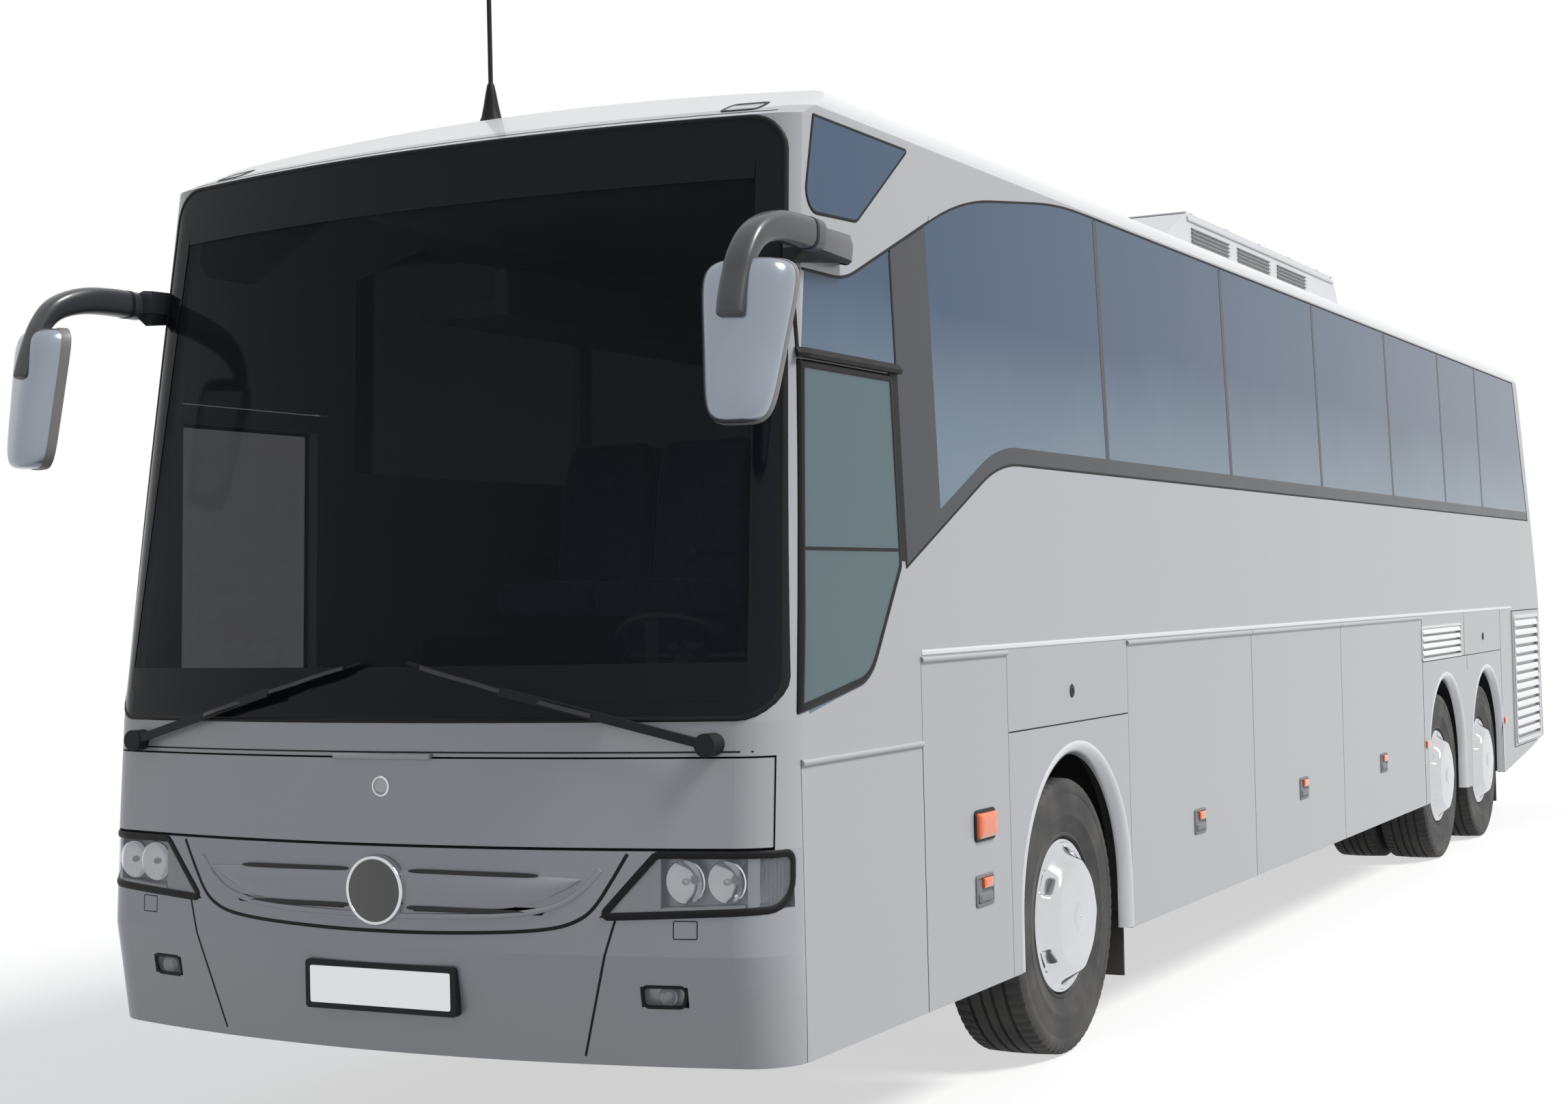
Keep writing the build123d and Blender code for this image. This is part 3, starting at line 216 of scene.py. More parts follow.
# Inside finishes: studded floor covering, grained dashboard, pale racks, grey seat frames.
floor_cover = finish("floor_covering", (0.10, 0.10, 0.115), 0.62, drift=0.25, drift_size=0.05, grain=0.5,
                     grain_size=0.006)
dash_skin = finish("dash_skin", (0.05, 0.054, 0.062), 0.6, drift=0.12, grain=0.5, grain_size=0.002)
rack_lining = finish("rack_lining", (0.34, 0.34, 0.34), 0.7, drift=0.08, grain=0.3, grain_size=0.003,
                     sheen=0.2)
frame_grey = finish("seat_frame_grey", (0.16, 0.165, 0.175), 0.45, drift=0.1, grain=0.2)
grip = finish("wheel_leather", (0.018, 0.018, 0.02), 0.5, drift=0.3, drift_size=0.05, grain=0.5,
              grain_size=0.002)
cloth = finish("seat_moquette", (0.07, 0.09, 0.15), 0.85, drift=0.5, drift_size=0.02, grain=0.8,
               grain_size=0.002, sheen=0.5)
for name, paint in (("deck_floor", floor_cover), ("dashboard", dash_skin), ("luggage_racks", rack_lining),
                    ("seat_legs", frame_grey), ("steering_wheel", grip), ("seats", cloth)):
    wear(name, paint)

# Glass: the side panes are toughened and tinted blue-grey, the doors' panes are darker, and
# the windscreen is laminated and nearly black. The lamps have moulded lenses. Each pane's colour
# is lighter low down and darker higher up, a painted reflection.


def pane(name, colour, top_colour, see_through, low, high, specular=0.5):
    """Tinted glass: its colour runs from one tone to another with height, which paints a reflection; the rest
    shows through.
    """
    paint = bpy.data.materials.new(name)
    paint.use_nodes = True
    tree = paint.node_tree
    place = tree.nodes.new("ShaderNodeTexCoord").outputs["Object"]
    height = node(tree, "SeparateXYZ", {0: place}).outputs["Z"]
    # The blend with height is painted reflection, not a change in the glass's own tint.
    span = {"From Min": low, "From Max": high, "Value": height}
    up = node(tree, "MapRange", span, interpolation_type="SMOOTHSTEP")
    waver = node(tree, "TexNoise", {"Scale": 1.3, "Detail": 4, "Vector": place}).outputs["Fac"]
    reflection_blend = node(tree, "Math", {0: waver, 1: 0.35, 2: up.outputs[0]}, operation="MULTIPLY_ADD", use_clamp=True)
    shade = {"Factor": reflection_blend.outputs[0], "A": (*colour, 1), "B": (*top_colour, 1)}
    feed(tree, tree.nodes["Principled BSDF"], {
        "Base Color": node(tree, "Mix", shade, data_type="RGBA").outputs["Result"], "Roughness": 0.03,
        "Specular IOR Level": specular, "Alpha": 1 - see_through})
    return paint


# The side panes go from pale low down to deep blue at the top: painted reflection of sky and cloud.
side_pane = pane("side_pane", (0.20, 0.275, 0.34), (0.040, 0.085, 0.160), 0.10, 2.10, 2.95, 0.22)
door_pane = pane("door_pane", (0.10, 0.14, 0.16), (0.05, 0.08, 0.11), 0.35, 0.9, 2.4, 0.35)
screen_pane = pane("screen_pane", (0.012, 0.017, 0.026), (0.004, 0.006, 0.010), 0.62, 1.6, 3.1, 0.10)
clear_lens = pane("clear_lens", (0.30, 0.32, 0.34), (0.22, 0.24, 0.27), 0.45, 0.8, 1.05)
red_lens = finish("red_lens", (0.40, 0.02, 0.018), 0.15, coat=0.8, drift=0.2, drift_size=0.02, grain=0.3,
                  grain_size=0.004)
for name, paint in (("window_glass", side_pane), ("front_door_glass", door_pane),
                    ("mid_door_glass", door_pane), ("windscreen", screen_pane), ("rear_lamps", red_lens),
                    ("headlamps", clear_lens)):
    wear(name, paint)

# Window borders and gaskets. The panes are bonded and their edges are printed dark grey; black
# sealant parts them. A place on a side is given by its station, the distance along the coach
# from the front axle, and its height.
front_axle_y = -3.8425
half_width, belt_height, lean = 1.275, 1.55, 0.03403
front_tips = [0.396, 0.720, 1.020, 1.390, 3.200, 3.420], [-2.570, -2.620, -2.602, -2.570, -2.250, -1.714]
rear_tips = [0.396, 0.580, 1.550, 2.270, 3.200, 3.420], [10.370, 10.400, 10.330, 10.150, 9.920, 9.714]
# A plan's bow radius, corner radius, the corner's middle across and behind, and where it starts.
front_plan = (4.486, 0.18, 1.095, 0.3216, 1.1408)
rear_plan = (20.34, 0.11, 1.165, 0.1437, 1.171)
sides = {"left": 1, "right": -1}


def side_x(z):
    """Half the width at a height: upright to the belt, then leaning in."""
    return half_width - np.maximum(np.asarray(z, float) - belt_height, 0) * lean


def set_back(x, plan):
    """How far a face lies behind its tip: the bow's arc, then the round corner's arc."""
    bow, corner, corner_x, corner_back, start = plan
    x = np.minimum(np.abs(x), half_width - 0.0001)
    arc = corner_back - np.sqrt(np.maximum(0, corner ** 2 - (np.maximum(x, start) - corner_x) ** 2))
    return np.where(x > start, arc, bow - np.sqrt(bow ** 2 - x ** 2))


def front_y(x, z):
    """The front's face: its foremost place at the height, and how far it is set back from it."""
    return front_axle_y + np.interp(z, *front_tips) + set_back(x, front_plan)


def on_left(yz, proud=0.0):
    """Points (station, height) laid on the left side and round its front corner: the corner's
    arc is cut off where it passes the side's leaning plane."""
    corner, corner_x, corner_back = front_plan[1:4]
    arc_end_y = np.interp(yz[..., 1], *front_tips) + corner_back
    sine = np.clip(arc_end_y - yz[..., 0], 0, corner - 0.004) / corner
    arc_x = corner_x + corner * np.sqrt(1 - sine ** 2)
    sine = np.where(arc_x < side_x(yz[..., 1]), sine, 0.0)
    x = np.minimum(arc_x, side_x(yz[..., 1])) + proud * np.sqrt(1 - sine ** 2)
    return np.stack([x, yz[..., 0] + front_axle_y - proud * sine, yz[..., 1]], -1)


def on_front(xz, proud=0.0):
    """Points (x, height) laid on the front's face."""
    return np.stack([xz[..., 0], front_y(xz[..., 0], xz[..., 1]) - proud, xz[..., 1]], -1)


def outline(corners, radii, width=0.0, steps=8, runs=14):
    """A closed outline drawn in by a width. Each corner moves along its own bisector and is
    turned by an arc, whose points are a blend of its two ends by the sine rule."""
    p = np.array(corners, float)
    back, on = np.roll(p, 1, 0) - p, np.roll(p, -1, 0) - p
    back /= np.linalg.norm(back, axis=1, keepdims=True)
    on /= np.linalg.norm(on, axis=1, keepdims=True)
    area = (p[:, 0] * np.roll(p[:, 1], -1) - np.roll(p[:, 0], -1) * p[:, 1]).sum()
    hand = np.sign((on[:, 0] * back[:, 1] - on[:, 1] * back[:, 0]) * area)[:, None]
    half = np.arccos(np.clip((back * on).sum(1), -1, 1))[:, None] / 2
    middle = (back + on) / np.linalg.norm(back + on, axis=1, keepdims=True)
    p = p + middle * hand * width / np.sin(half)
    r = np.maximum(np.broadcast_to(radii, len(p))[:, None] - hand * width, 2e-4)
    start, end = p + back * r / np.tan(half), p + on * r / np.tan(half)
    centre = p + middle * r / np.sin(half)
    turn = (np.pi - 2 * half)[:, None]
    t = np.linspace(0, 1, steps)[None, :, None]
    swung = np.sin((1 - t) * turn) * (start - centre)[:, None] + np.sin(t * turn) * (end - centre)[:, None]
    s = np.linspace(0, 1, runs + 2)[None, 1:-1, None]
    lines = end[:, None] * (1 - s) + np.roll(start, -1, 0)[:, None] * s
    return np.concatenate([centre[:, None] + swung / np.sin(turn), lines], 1).reshape(-1, 2)


def shell(points, round_rows=False):
    """A grid of points, rows by columns, as vertices and faces. Each row is a closed ring; the
    rows close on each other too, or else the first and the last are filled by one face each."""
    rows, columns = points.shape[:2]
    index = np.arange(rows * columns).reshape(rows, columns)
    across = np.concatenate([index, index[:, :1]], 1)
    across = np.concatenate([across, across[:1]], 0) if round_rows else across
    faces = np.stack([across[:-1, :-1], across[:-1, 1:], across[1:, 1:], across[1:, :-1]], -1)
    ends = [] if round_rows else [index[0, ::-1].tolist(), index[-1].tolist()]
    return points.reshape(-1, 3), faces.reshape(-1, 4).tolist() + ends


def mirrored(shape):
    """The same shape on the coach's right."""
    return shape[0] * [-1, 1, 1], shape[1]


def for_side(side, shapes):
    """Shapes drawn on the coach's left, and mirrored if the side is the right."""
    return shapes if side == "left" else [mirrored(shape) for shape in shapes]


def piece(name, shapes, paint, body="coach_body", slot=None, crease=0.6):
    """One object from several shapes, its faces turned outwards and its edges sharp past the crease."""
    counts = np.cumsum([0] + [len(points) for points, _ in shapes])
    points = np.concatenate([shape[0] for shape in shapes])
    faces = [[corner + first for corner in face]
             for (_, found), first in zip(shapes, counts) for face in found]
    mesh = bpy.data.meshes.new(name)
    mesh.from_pydata(points.tolist(), [], faces)
    work = bmesh.new()
    work.from_mesh(mesh)
    bmesh.ops.remove_doubles(work, verts=work.verts, dist=1e-6)
    bmesh.ops.recalc_face_normals(work, faces=work.faces)
    work.to_mesh(mesh)
    work.free()
    mesh.polygons.foreach_set("use_smooth", np.ones(len(mesh.polygons), bool))
    mesh.set_sharp_from_angle(angle=crease)
    mesh.materials.append(paint)
    made = bpy.data.objects.new(name, mesh)
    scene.collection.objects.link(made)
    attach(made, body)
    return made


def both(name, shapes, paint, **given):
    """The same piece on the coach's left and, mirrored, on its right."""
    return [piece("%s_%s" % (side, name), for_side(side, shapes), paint, **given) for side in sides]


def bead(corners, radii, middle, width, lay, rise, sink=0.004):
    """A rubber section along an outline: a half-round crown on a flat foot."""
    angles = np.linspace(0, np.pi, 7)
    rows = [lay(outline(corners, radii, middle - width / 2), -sink)]
    rows += [lay(outline(corners, radii, middle - width / 2 * np.cos(a)), rise * np.sin(a)) for a in angles]
    rows += [lay(outline(corners, radii, middle + width / 2), -sink)]
    return shell(np.stack(rows), True)


def between(low_line, high_line, proud, lay, back=-0.002):
    """A thin strip between two lines on a face."""
    rows = [lay(low_line, back), lay(low_line, proud), lay(high_line, proud), lay(high_line, back)]
    return shell(np.stack(rows, 1))


def upright(front, rear, low, high, proud=0.0006, back=-0.002):
    """A strip between two stations, from one height to another, following the side's lean."""
    yz = np.array([[(front, low), (rear, low), (rear, high), (front, high)]])
    return shell(np.concatenate([on_left(yz, back), on_left(yz, proud)]))


def filled(corners, radii, lay, high, low, inset=0.0):
    """A thin plate inside an outline, its two faces laid at two depths; each is a fan of rings
    drawn in towards the middle, so that it follows a curved face."""
    ring = outline(corners, radii, inset, 6, 10)
    middle = ring.mean(0)
    shares = np.array([1.0, 0.93, 0.84, 0.73, 0.60, 0.47, 0.34, 0.20, 0.06])[:, None, None]
    rings = middle + (ring - middle) * shares
    return shell(np.concatenate([lay(rings[::-1], low), lay(rings, high)]))


def low_edge(station):
    """The lower line of the side glass: level, then round an arc of 0.9 m and down to the
    driver's window."""
    arc = 1.300 + np.sqrt(np.maximum(0.81 - (station + 0.452) ** 2, 0))
    slanting = 2.200 + 0.438 * (station + 0.640)
    return np.where(station > -0.452, 2.200, np.where(station > -0.812, arc, slanting))


# Dark print for the glass borders; the same paint also serves as painted shade behind the driver's window.
print_and_painted_shade = finish("printed_border", (0.034, 0.038, 0.046), 0.30, drift=0.12, drift_size=0.4, grain=0.1,
                 specular=0.25)
rubber = finish("gasket_rubber", (0.010, 0.010, 0.011), 0.5, drift=0.2, drift_size=0.1, grain=0.3,
                grain_size=0.003, specular=0.15)
band = [(-2.150, 2.720), (-1.830, 2.720), (-0.860, 3.105), (0.100, 3.226), (9.680, 3.226), (9.960, 2.200),
        (-0.640, 2.200), (-1.485, 1.830), (-1.485, 2.480), (-2.166, 2.480)]
band_radii = [0, 0.45, 2.2, 4.0, 0, 0, 0.90, 0, 0, 0]
right_band = band[:7] + [(-1.195, 1.957), (-1.195, 2.480), (-2.166, 2.480)]
dividers = np.array([0.510, 2.210, 3.860, 5.510, 7.000, 8.220])
left_post = [(-1.478, float(low_edge(-1.478)) + 0.01), (-1.188, 1.968), (-1.188, 2.968), (-1.478, 2.855)]
right_post = [(-1.190, 2.01), (-0.960, 2.07), (-0.960, 3.050), (-1.190, 2.962)]
for side, start, post in (("left", -1.478, left_post), ("right", -1.190, right_post)):
    foot_station = np.concatenate([np.linspace(start, -0.3, 60), np.linspace(-0.2, 9.94, 60)])
    foot = np.stack([foot_station, low_edge(foot_station)], 1)
    shapes = [between(foot, foot + [0, 0.062], 0.0008, on_left)]
    shapes += [filled(post, [0.004, 0.03, 0.004, 0.004], on_left, 0.0011, -0.002)]
    shapes += [upright(d - 0.020, d + 0.020, 2.24, 3.215, 0.0009) for d in dividers]
    piece("%s_glass_border" % side, for_side(side, shapes), print_and_painted_shade, slot="tinted_glass")


def swoosh():
    """The silver panel over the front of the band: its lower line is the band's own top curve,
    its upper line runs over the panel above."""
    station = np.linspace(-1.150, 0.420, 70)
    curve = outline(band, band_radii, 0.0, 24, 30)
    curve = curve[(curve[:, 1] > 2.80) & (curve[:, 0] < 3.0)]
    curve = curve[np.argsort(curve[:, 0])]
    low = np.interp(station, curve[:, 0], curve[:, 1])
    high = np.maximum(np.minimum(3.236, 2.720 + 0.3976 * (station + 1.83) + 0.020), low + 0.004)
    return between(np.stack([station, low], 1), np.stack([station, high], 1), 0.0014, on_left)


both("swoosh", [swoosh()], silver, slot="body_paint")
corner = [(-2.086, 2.900), (-1.720, 2.915), (-1.300, 3.205), (-1.986, 3.205)]
corner_radii = [0.06, 0.06, 0.004, 0.004]
seals = [upright(d - 0.0052, d + 0.0052, 2.205, 3.222, -0.0003, -0.007) for d in dividers]
post_seal = upright(-1.4904, -1.4796, 1.84, 2.845, 0.0015, -0.007)
for side, line, more in (("left", band, [post_seal]), ("right", right_band, [])):
    shapes = seals + more + [bead(line, band_radii, 0.0, 0.010, on_left, 0.0022)]
    shapes += [bead(corner, corner_radii, 0.0, 0.012, on_left, 0.003)]
    piece("%s_window_seals" % side, for_side(side, shapes), rubber, slot="black_trim")
corner_pane = filled(corner, corner_radii, on_left, 0.0022, -0.001, 0.004)
both("corner_pane", [corner_pane], side_pane, slot="tinted_glass")

# Driver's window: a greener pane in a broad rubber frame with a rain lip over it. Its lower
# edge sweeps down to the pillar, and a rail parts off the sliding half.


def level(start, end, height, count):
    """Points at one height between two places."""
    return np.stack([np.linspace(start, end, count), np.full(count, height)], 1)


def ribbon(line, section, lay):
    """A section of (up, out) carried along a line on a face."""
    return shell(np.stack([lay(line + [0, up], out) for up, out in section], 1))


driver = [(-2.287, 1.405), (-1.800, 1.480), (-1.530, 1.830), (-1.530, 2.445), (-2.170, 2.445)]
driver_radii = [0.004, 0.19, 0.03, 0.02, 0.004]
rail_section = ((0, 0.003), (0, 0.0085), (0.010, 0.0085), (0.010, 0.003))
lip_section = ((0, -0.002), (0, 0.018), (0.012, 0.022), (0.030, 0.008), (0.032, -0.002))
driver_rubber = [bead(driver, driver_radii, 0.014, 0.034, on_left, 0.009),
                 upright(-1.546, -1.479, 1.850, 2.470, 0.0022),
                 ribbon(level(-2.225, -1.550, 1.880, 30), rail_section, on_left),
                 ribbon(level(-2.172, -1.475, 2.452, 30), lip_section, on_left)]
# A dark plate at the front end of the driver's window is painted shade: it stands for the shadowed inside
# seen through the pane.
shade_outline = [(-2.283, 1.412), (-2.190, 1.425), (-2.120, 2.440), (-2.166, 2.440)]
green_pane = pane("green_pane", (0.10, 0.17, 0.18), (0.09, 0.16, 0.18), 0.35, 1.4, 2.5)
driver_tint = filled(driver, driver_radii, on_left, 0.0070, 0.0050, 0.02)
piece("driver_window_painted_shade", [filled(shade_outline, 0.004, on_left, 0.0012, -0.002)], print_and_painted_shade, slot="tinted_glass")
piece("driver_window_frame", driver_rubber, rubber, slot="black_trim")
piece("driver_window_tint", [driver_tint], green_pane, slot="tinted_glass")

# Windscreen edge: a printed black border, broad at the foot and over the top, in a thin rubber
# lip. The screen is bonded to the front mask.


def border(corners, radii, outer, inner, lay, low, high):
    """A band along an outline, between two distances in from it, bent to the surface and with a
    thickness."""
    lines = [outline(corners, radii, width) for width in np.linspace(outer, inner, 7)]
    rows = [lay(lines[0], low)] + [lay(line, high) for line in lines] + [lay(lines[-1], low)]
    return shell(np.stack(rows), True)


screen, screen_radius = [(-1.256, 1.398), (1.256, 1.398), (1.180, 3.192), (-1.180, 3.192)], 0.11
black_print = finish("screen_print", (0.007, 0.009, 0.012), 0.10, drift=0.2, drift_size=0.5, specular=0.12)
screen_edge = border(screen, screen_radius, 0.0, 0.085, on_front, -0.003, 0.0022)
screen_seal = bead(screen, screen_radius, 0.0, 0.016, on_front, 0.006)
piece("windscreen_border", [screen_edge], black_print, slot="screen_glass")
piece("windscreen_seal", [screen_seal], rubber, slot="black_trim")
bands = [between(level(-half, half, low, 60), level(-half, half, high, 60), 0.0024, on_front)
         for low, high, half in ((1.45, 1.56, 1.17), (3.00, 3.13, 1.10))]
piece("windscreen_bands", bands, black_print, slot="screen_glass")

# Tyres: bus radials with a ribbed road tread. Moulded rubber on a steel wheel; the side wall
# has a bead ring, a scuff rib and a shoulder with cut blocks.
tyre_radius, tread_radius, tread_half, groove_depth = 0.520, 0.5195, 0.128, 0.013


def road_tyre(centre, steps=288):
    """The tyre's section turned round the axle. Grooves part the ribs, and the ribs' edges are
    notched by a wave in the angle, deeper at the shoulders."""
    half_ribs = np.array([0.014, 0.018, 0.026, 0.030, 0.066, 0.070, 0.078, 0.082, tread_half])
    half_depth = np.array([0, 1, 1, 0, 0, 1, 1, 0, 0]) * groove_depth
    ribs = np.concatenate([-half_ribs[::-1], half_ribs])
    depth = np.concatenate([half_depth[::-1], half_depth])
    tread = np.stack([ribs, tread_radius - depth - 0.004 * (ribs / tread_half) ** 2], 1)
    wall = np.array([
        [0.138, 0.510], [0.1455, 0.496], [0.1485, 0.478], [0.1482, 0.462], [0.1462, 0.458],
        [0.1478, 0.445], [0.1485, 0.410], [0.1470, 0.385], [0.1480, 0.381], [0.1478, 0.373],
        [0.1455, 0.369], [0.1380, 0.335], [0.1300, 0.312], [0.1330, 0.307], [0.1330, 0.300],
        [0.1250, 0.296], [0.1150, 0.2895], [0.095, 0.2885]])
    profile = np.concatenate([(wall * [-1, 1])[::-1], tread, wall])
    angle = np.arange(steps) * 2 * np.pi / steps
    x, r = profile[:, :1], profile[:, 1:]
    shoulder = np.clip((np.abs(x) - 0.075) / 0.055, 0, 1) * np.clip((r - 0.470) / 0.03, 0, 1)
    sway = (np.abs(x) < 0.10) * (r > 0.515) * 0.0016 * np.sin(angle * 54)
    r = r - (np.sin(angle * 72) > 0.55) * 0.007 * shoulder
    return shell(np.stack([x + sway, r * np.cos(angle), r * np.sin(angle)], -1) + centre, True)


def tyre_finish():
    """Rubber: charcoal, greyer in weathered patches of road dust from a noise, with a fine grain."""
    paint = finish("tyre_rubber", (0.030, 0.030, 0.031), 0.72, drift=0.25, drift_size=0.12, grain=0.5,
                   grain_size=0.004)
    tree = paint.node_tree
    shader = tree.nodes["Principled BSDF"]
    under = shader.inputs["Base Color"].links[0].from_socket
    place = tree.nodes.new("ShaderNodeTexCoord").outputs["Object"]
    streak = node(tree, "TexNoise", {"Scale": 6, "Detail": 6, "Vector": place}).outputs["Fac"]
    span = node(tree, "MapRange", {"From Min": 0.40, "From Max": 0.75, "To Max": 0.55, "Value": streak})
    dusty = {"Factor": span.outputs[0], "A": under, "B": (0.115, 0.108, 0.098, 1)}
    feed(tree, shader, {"Base Color": node(tree, "Mix", dusty, data_type="RGBA").outputs["Result"]})
    return paint


tyre_rubber = tyre_finish()
wheel_x, twin_x = 1.075, 0.740
drive_station, tag_station = 6.73, 8.07
axles = (("front", 0.0, [wheel_x]), ("drive", drive_station, [wheel_x, twin_x]),
         ("tag", tag_station, [wheel_x]))
for axle, station, places in axles:
    for side, hand in sides.items():
        shapes = [road_tyre(np.array([hand * x, front_axle_y + station, tyre_radius])) for x in places]
        wheel = "%s_%s_wheel" % (axle, side)
        made = piece("%s_%s_road_tyre" % (axle, side), shapes, tyre_rubber, wheel, "tyre_rubber", 0.5)
        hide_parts("%s_%s_tyre" % (axle, side))

# Wheel trims: pressed bright covers. A rolled edge sits on the rim, a cone with five long
# slots rises from it, and the flat centre carries a plain round cap. Dark plates behind the
# slots are painted shade.
chrome = finish("trim_chrome", (0.62, 0.63, 0.65), 0.10, metallic=1.0, drift=0.06, drift_size=0.15,
                grain=0.04, grain_size=0.003)
# The slot plates' dark is painted shade; the grille's slot bars and the locks share this paint.
slot_shade_and_lock_dark = finish("slot_shade_and_lock_dark", (0.02, 0.02, 0.022), 0.7, drift=0.2)
trim_x, trim_slots = wheel_x + 0.1125, 5


def trim_skin(thick, inset):
    """The cover as radius against angle. The cone's height follows a smooth step of the radius,
    and the slots dip into it: a bump in the angle times a bump in the radius."""
    rho = np.concatenate([np.linspace(0.2885, 0.270, 4), np.linspace(0.266, 0.196, 20),
                          np.linspace(0.190, 0.060, 5), np.linspace(0.055, 0.040, 4), [0.028, 0.006]])
    r, a = np.meshgrid(rho, np.arange(160) * 2 * np.pi / 160, indexing="ij")
    t = np.clip((0.272 - r) / (0.272 - 0.192), 0, 1)
    rise = 0.012 + 0.066 * (t * t * (3 - 2 * t)) + 0.010 * np.exp(-((r - 0.279) / 0.006) ** 2)
    crown = 0.004 * (1 - (np.minimum(r, 0.19) / 0.19) ** 2) * (r < 0.19)
    cap = 0.006 * np.clip((0.054 - r) / 0.006, 0, 1)
    wave = np.cos(trim_slots * a)
    long = 1 / (1 + np.exp(-(wave - 0.62) / 0.035))
    wide = 1 / (1 + np.exp(-(r - 0.224) / 0.0022)) / (1 + np.exp((r - 0.257) / 0.0022))
    dip = -0.040 * long * wide
    scallop = 0.006 * np.clip(wave, 0, 1) ** 2 * np.exp(-((r - 0.215) / 0.016) ** 2)
    high = rise + crown + cap + dip + scallop - thick
    return np.stack([trim_x + high, (r - inset) * np.cos(a), (r - inset) * np.sin(a)], -1)


def slot_shade_plate(turn):
    """A dark plate behind a slot, between two radii and two angles: painted shade seen through it."""
    around = np.linspace(-0.17, 0.17, 20)
    r = np.repeat([0.2265, 0.2545], 20)
    angle = np.concatenate([around, around[::-1]]) * 0.98 + turn
    return np.stack([np.stack([np.full(40, trim_x + x), r * np.cos(angle), r * np.sin(angle)], -1)
                     for x in (-0.004, 0.0035)])


for axle, station, _ in axles:
    hub = np.array([0, front_axle_y + station, tyre_radius])
    cover = shell(np.concatenate([trim_skin(0.0, 0.0), trim_skin(0.004, 0.001)[::-1]]) + hub, True)
    slot_shades = [shell(slot_shade_plate(place * 2 * np.pi / trim_slots) + hub) for place in range(trim_slots)]
    for side in sides:
        name = "%s_%s" % (axle, side)
        piece(name + "_wheel_trim", for_side(side, [cover]), chrome, name + "_wheel", "wheel_steel", 0.9)
        piece(name + "_trim_slots", for_side(side, slot_shades), slot_shade_and_lock_dark, name + "_wheel", "black_trim")

# Front lamps. A clear moulded lens follows the corner; behind it lie a bright tray, two deep
# reflectors, a plain silver bar and the ribbed turn lamp. A black rubber frame seals it.
bow_radius, corner_radius, corner_middle, corner_back, corner_start = front_plan
arc_end = np.arcsin(corner_start / bow_radius)
plan_turn = np.concatenate([np.linspace(0, arc_end, 60), np.linspace(arc_end, np.pi / 2, 40)[1:]])
on_corner = plan_turn > arc_end + 1e-9
turn_x, turn_back = np.sin(plan_turn), np.cos(plan_turn)
plan_x = np.where(on_corner, corner_middle + corner_radius * turn_x, bow_radius * turn_x)
plan_back = np.where(on_corner, corner_back - corner_radius * turn_back, bow_radius * (1 - turn_back))
plan_run = np.concatenate([[0], np.cumsum(np.hypot(np.diff(plan_x), np.diff(plan_back)))])
lengthwise, upwards = [1, 0, 2], [1, 2, 0]


def round_corner(sz, proud=0.0):
    """Points (run along the front's plan from the middle, height) laid on the face, proud along
    its own normal."""
    run = np.abs(sz[..., 0])
    turn = np.interp(run, plan_run, plan_turn)
    x = np.interp(run, plan_run, plan_x) + proud * np.sin(turn)
    y = np.interp(run, plan_run, plan_back) - proud * np.cos(turn)
    y += front_axle_y + np.interp(sz[..., 1], *front_tips)
    return np.stack([x * np.sign(sz[..., 0]), y, sz[..., 1]], -1)


def turned(profile, centre, steps, line):
    """A profile of (place along the line, radius) turned round a line through the centre."""
    angle = np.arange(steps) * 2 * np.pi / steps
    profile = np.array(profile, float)
    along = np.repeat(profile[:, :1], steps, 1)
    ring = np.stack([along, profile[:, 1:] * np.cos(angle), profile[:, 1:] * np.sin(angle)], -1)
    return shell(ring[..., line] + centre)


def bowl(centre, radius, depth, thick=0.003, steps=40):
    """A deep reflector turned about the driving direction: depth falls with the square of the
    radius."""
    rho = np.linspace(1, 0.05, 12) * radius
    r, a = np.meshgrid(rho, np.arange(steps) * 2 * np.pi / steps, indexing="ij")
    back = depth * (1 - (r / radius) ** 2)
    front_skin = np.stack([r * np.cos(a), back, r * np.sin(a)], -1)
    rear_skin = np.stack([(r + thick) * np.cos(a), back + thick, (r + thick) * np.sin(a)], -1)
    return shell(np.concatenate([rear_skin[::-1], front_skin]) + centre)


def box(left, low, right, high):
    """The corners of an upright oblong."""
    return [(left, low), (right, low), (right, high), (left, high)]


lamp = [(0.7485, 0.828), (1.344, 0.853), (1.344, 1.012), (0.921, 1.012)]
lamp_radii = [0.012, 0.09, 0.03, 0.03]
fog, fog_radius = [(0.872, 0.572), (0.995, 0.572), (1.010, 0.632), (0.872, 0.632)], 0.018
bright = finish("lamp_bright", (0.70, 0.71, 0.73), 0.12, metallic=0.9, drift=0.1, drift_size=0.03)
tray_silver = finish("lamp_tray", (0.36, 0.37, 0.38), 0.3, metallic=0.6, drift=0.1, drift_size=0.05,
                     grain=0.2)
lens_clear = pane("lens_clear", (0.42, 0.45, 0.48), (0.35, 0.38, 0.42), 0.80, 0.8, 1.02)
smoked = pane("lens_smoked", (0.20, 0.20, 0.21), (0.16, 0.17, 0.18), 0.55, 0.8, 1.02)
bulb = finish("lamp_bulb", (0.75, 0.74, 0.70), 0.1, coat=1.0, drift=0.05)
amber = finish("amber_lens", (0.80, 0.13, 0.012), 0.16, coat=0.9, drift=0.15, drift_size=0.01, grain=0.4,
               grain_size=0.003)
for made in both("headlamp_lens", [filled(lamp, lamp_radii, round_corner, 0.0, -0.003, 0.008)], lens_clear,
                 slot="lamp_lens"):
    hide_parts("headlamps")
both("fog_lens", [filled(fog, fog_radius, round_corner, -0.002, -0.006, 0.004)], lens_clear, slot="lamp_lens")
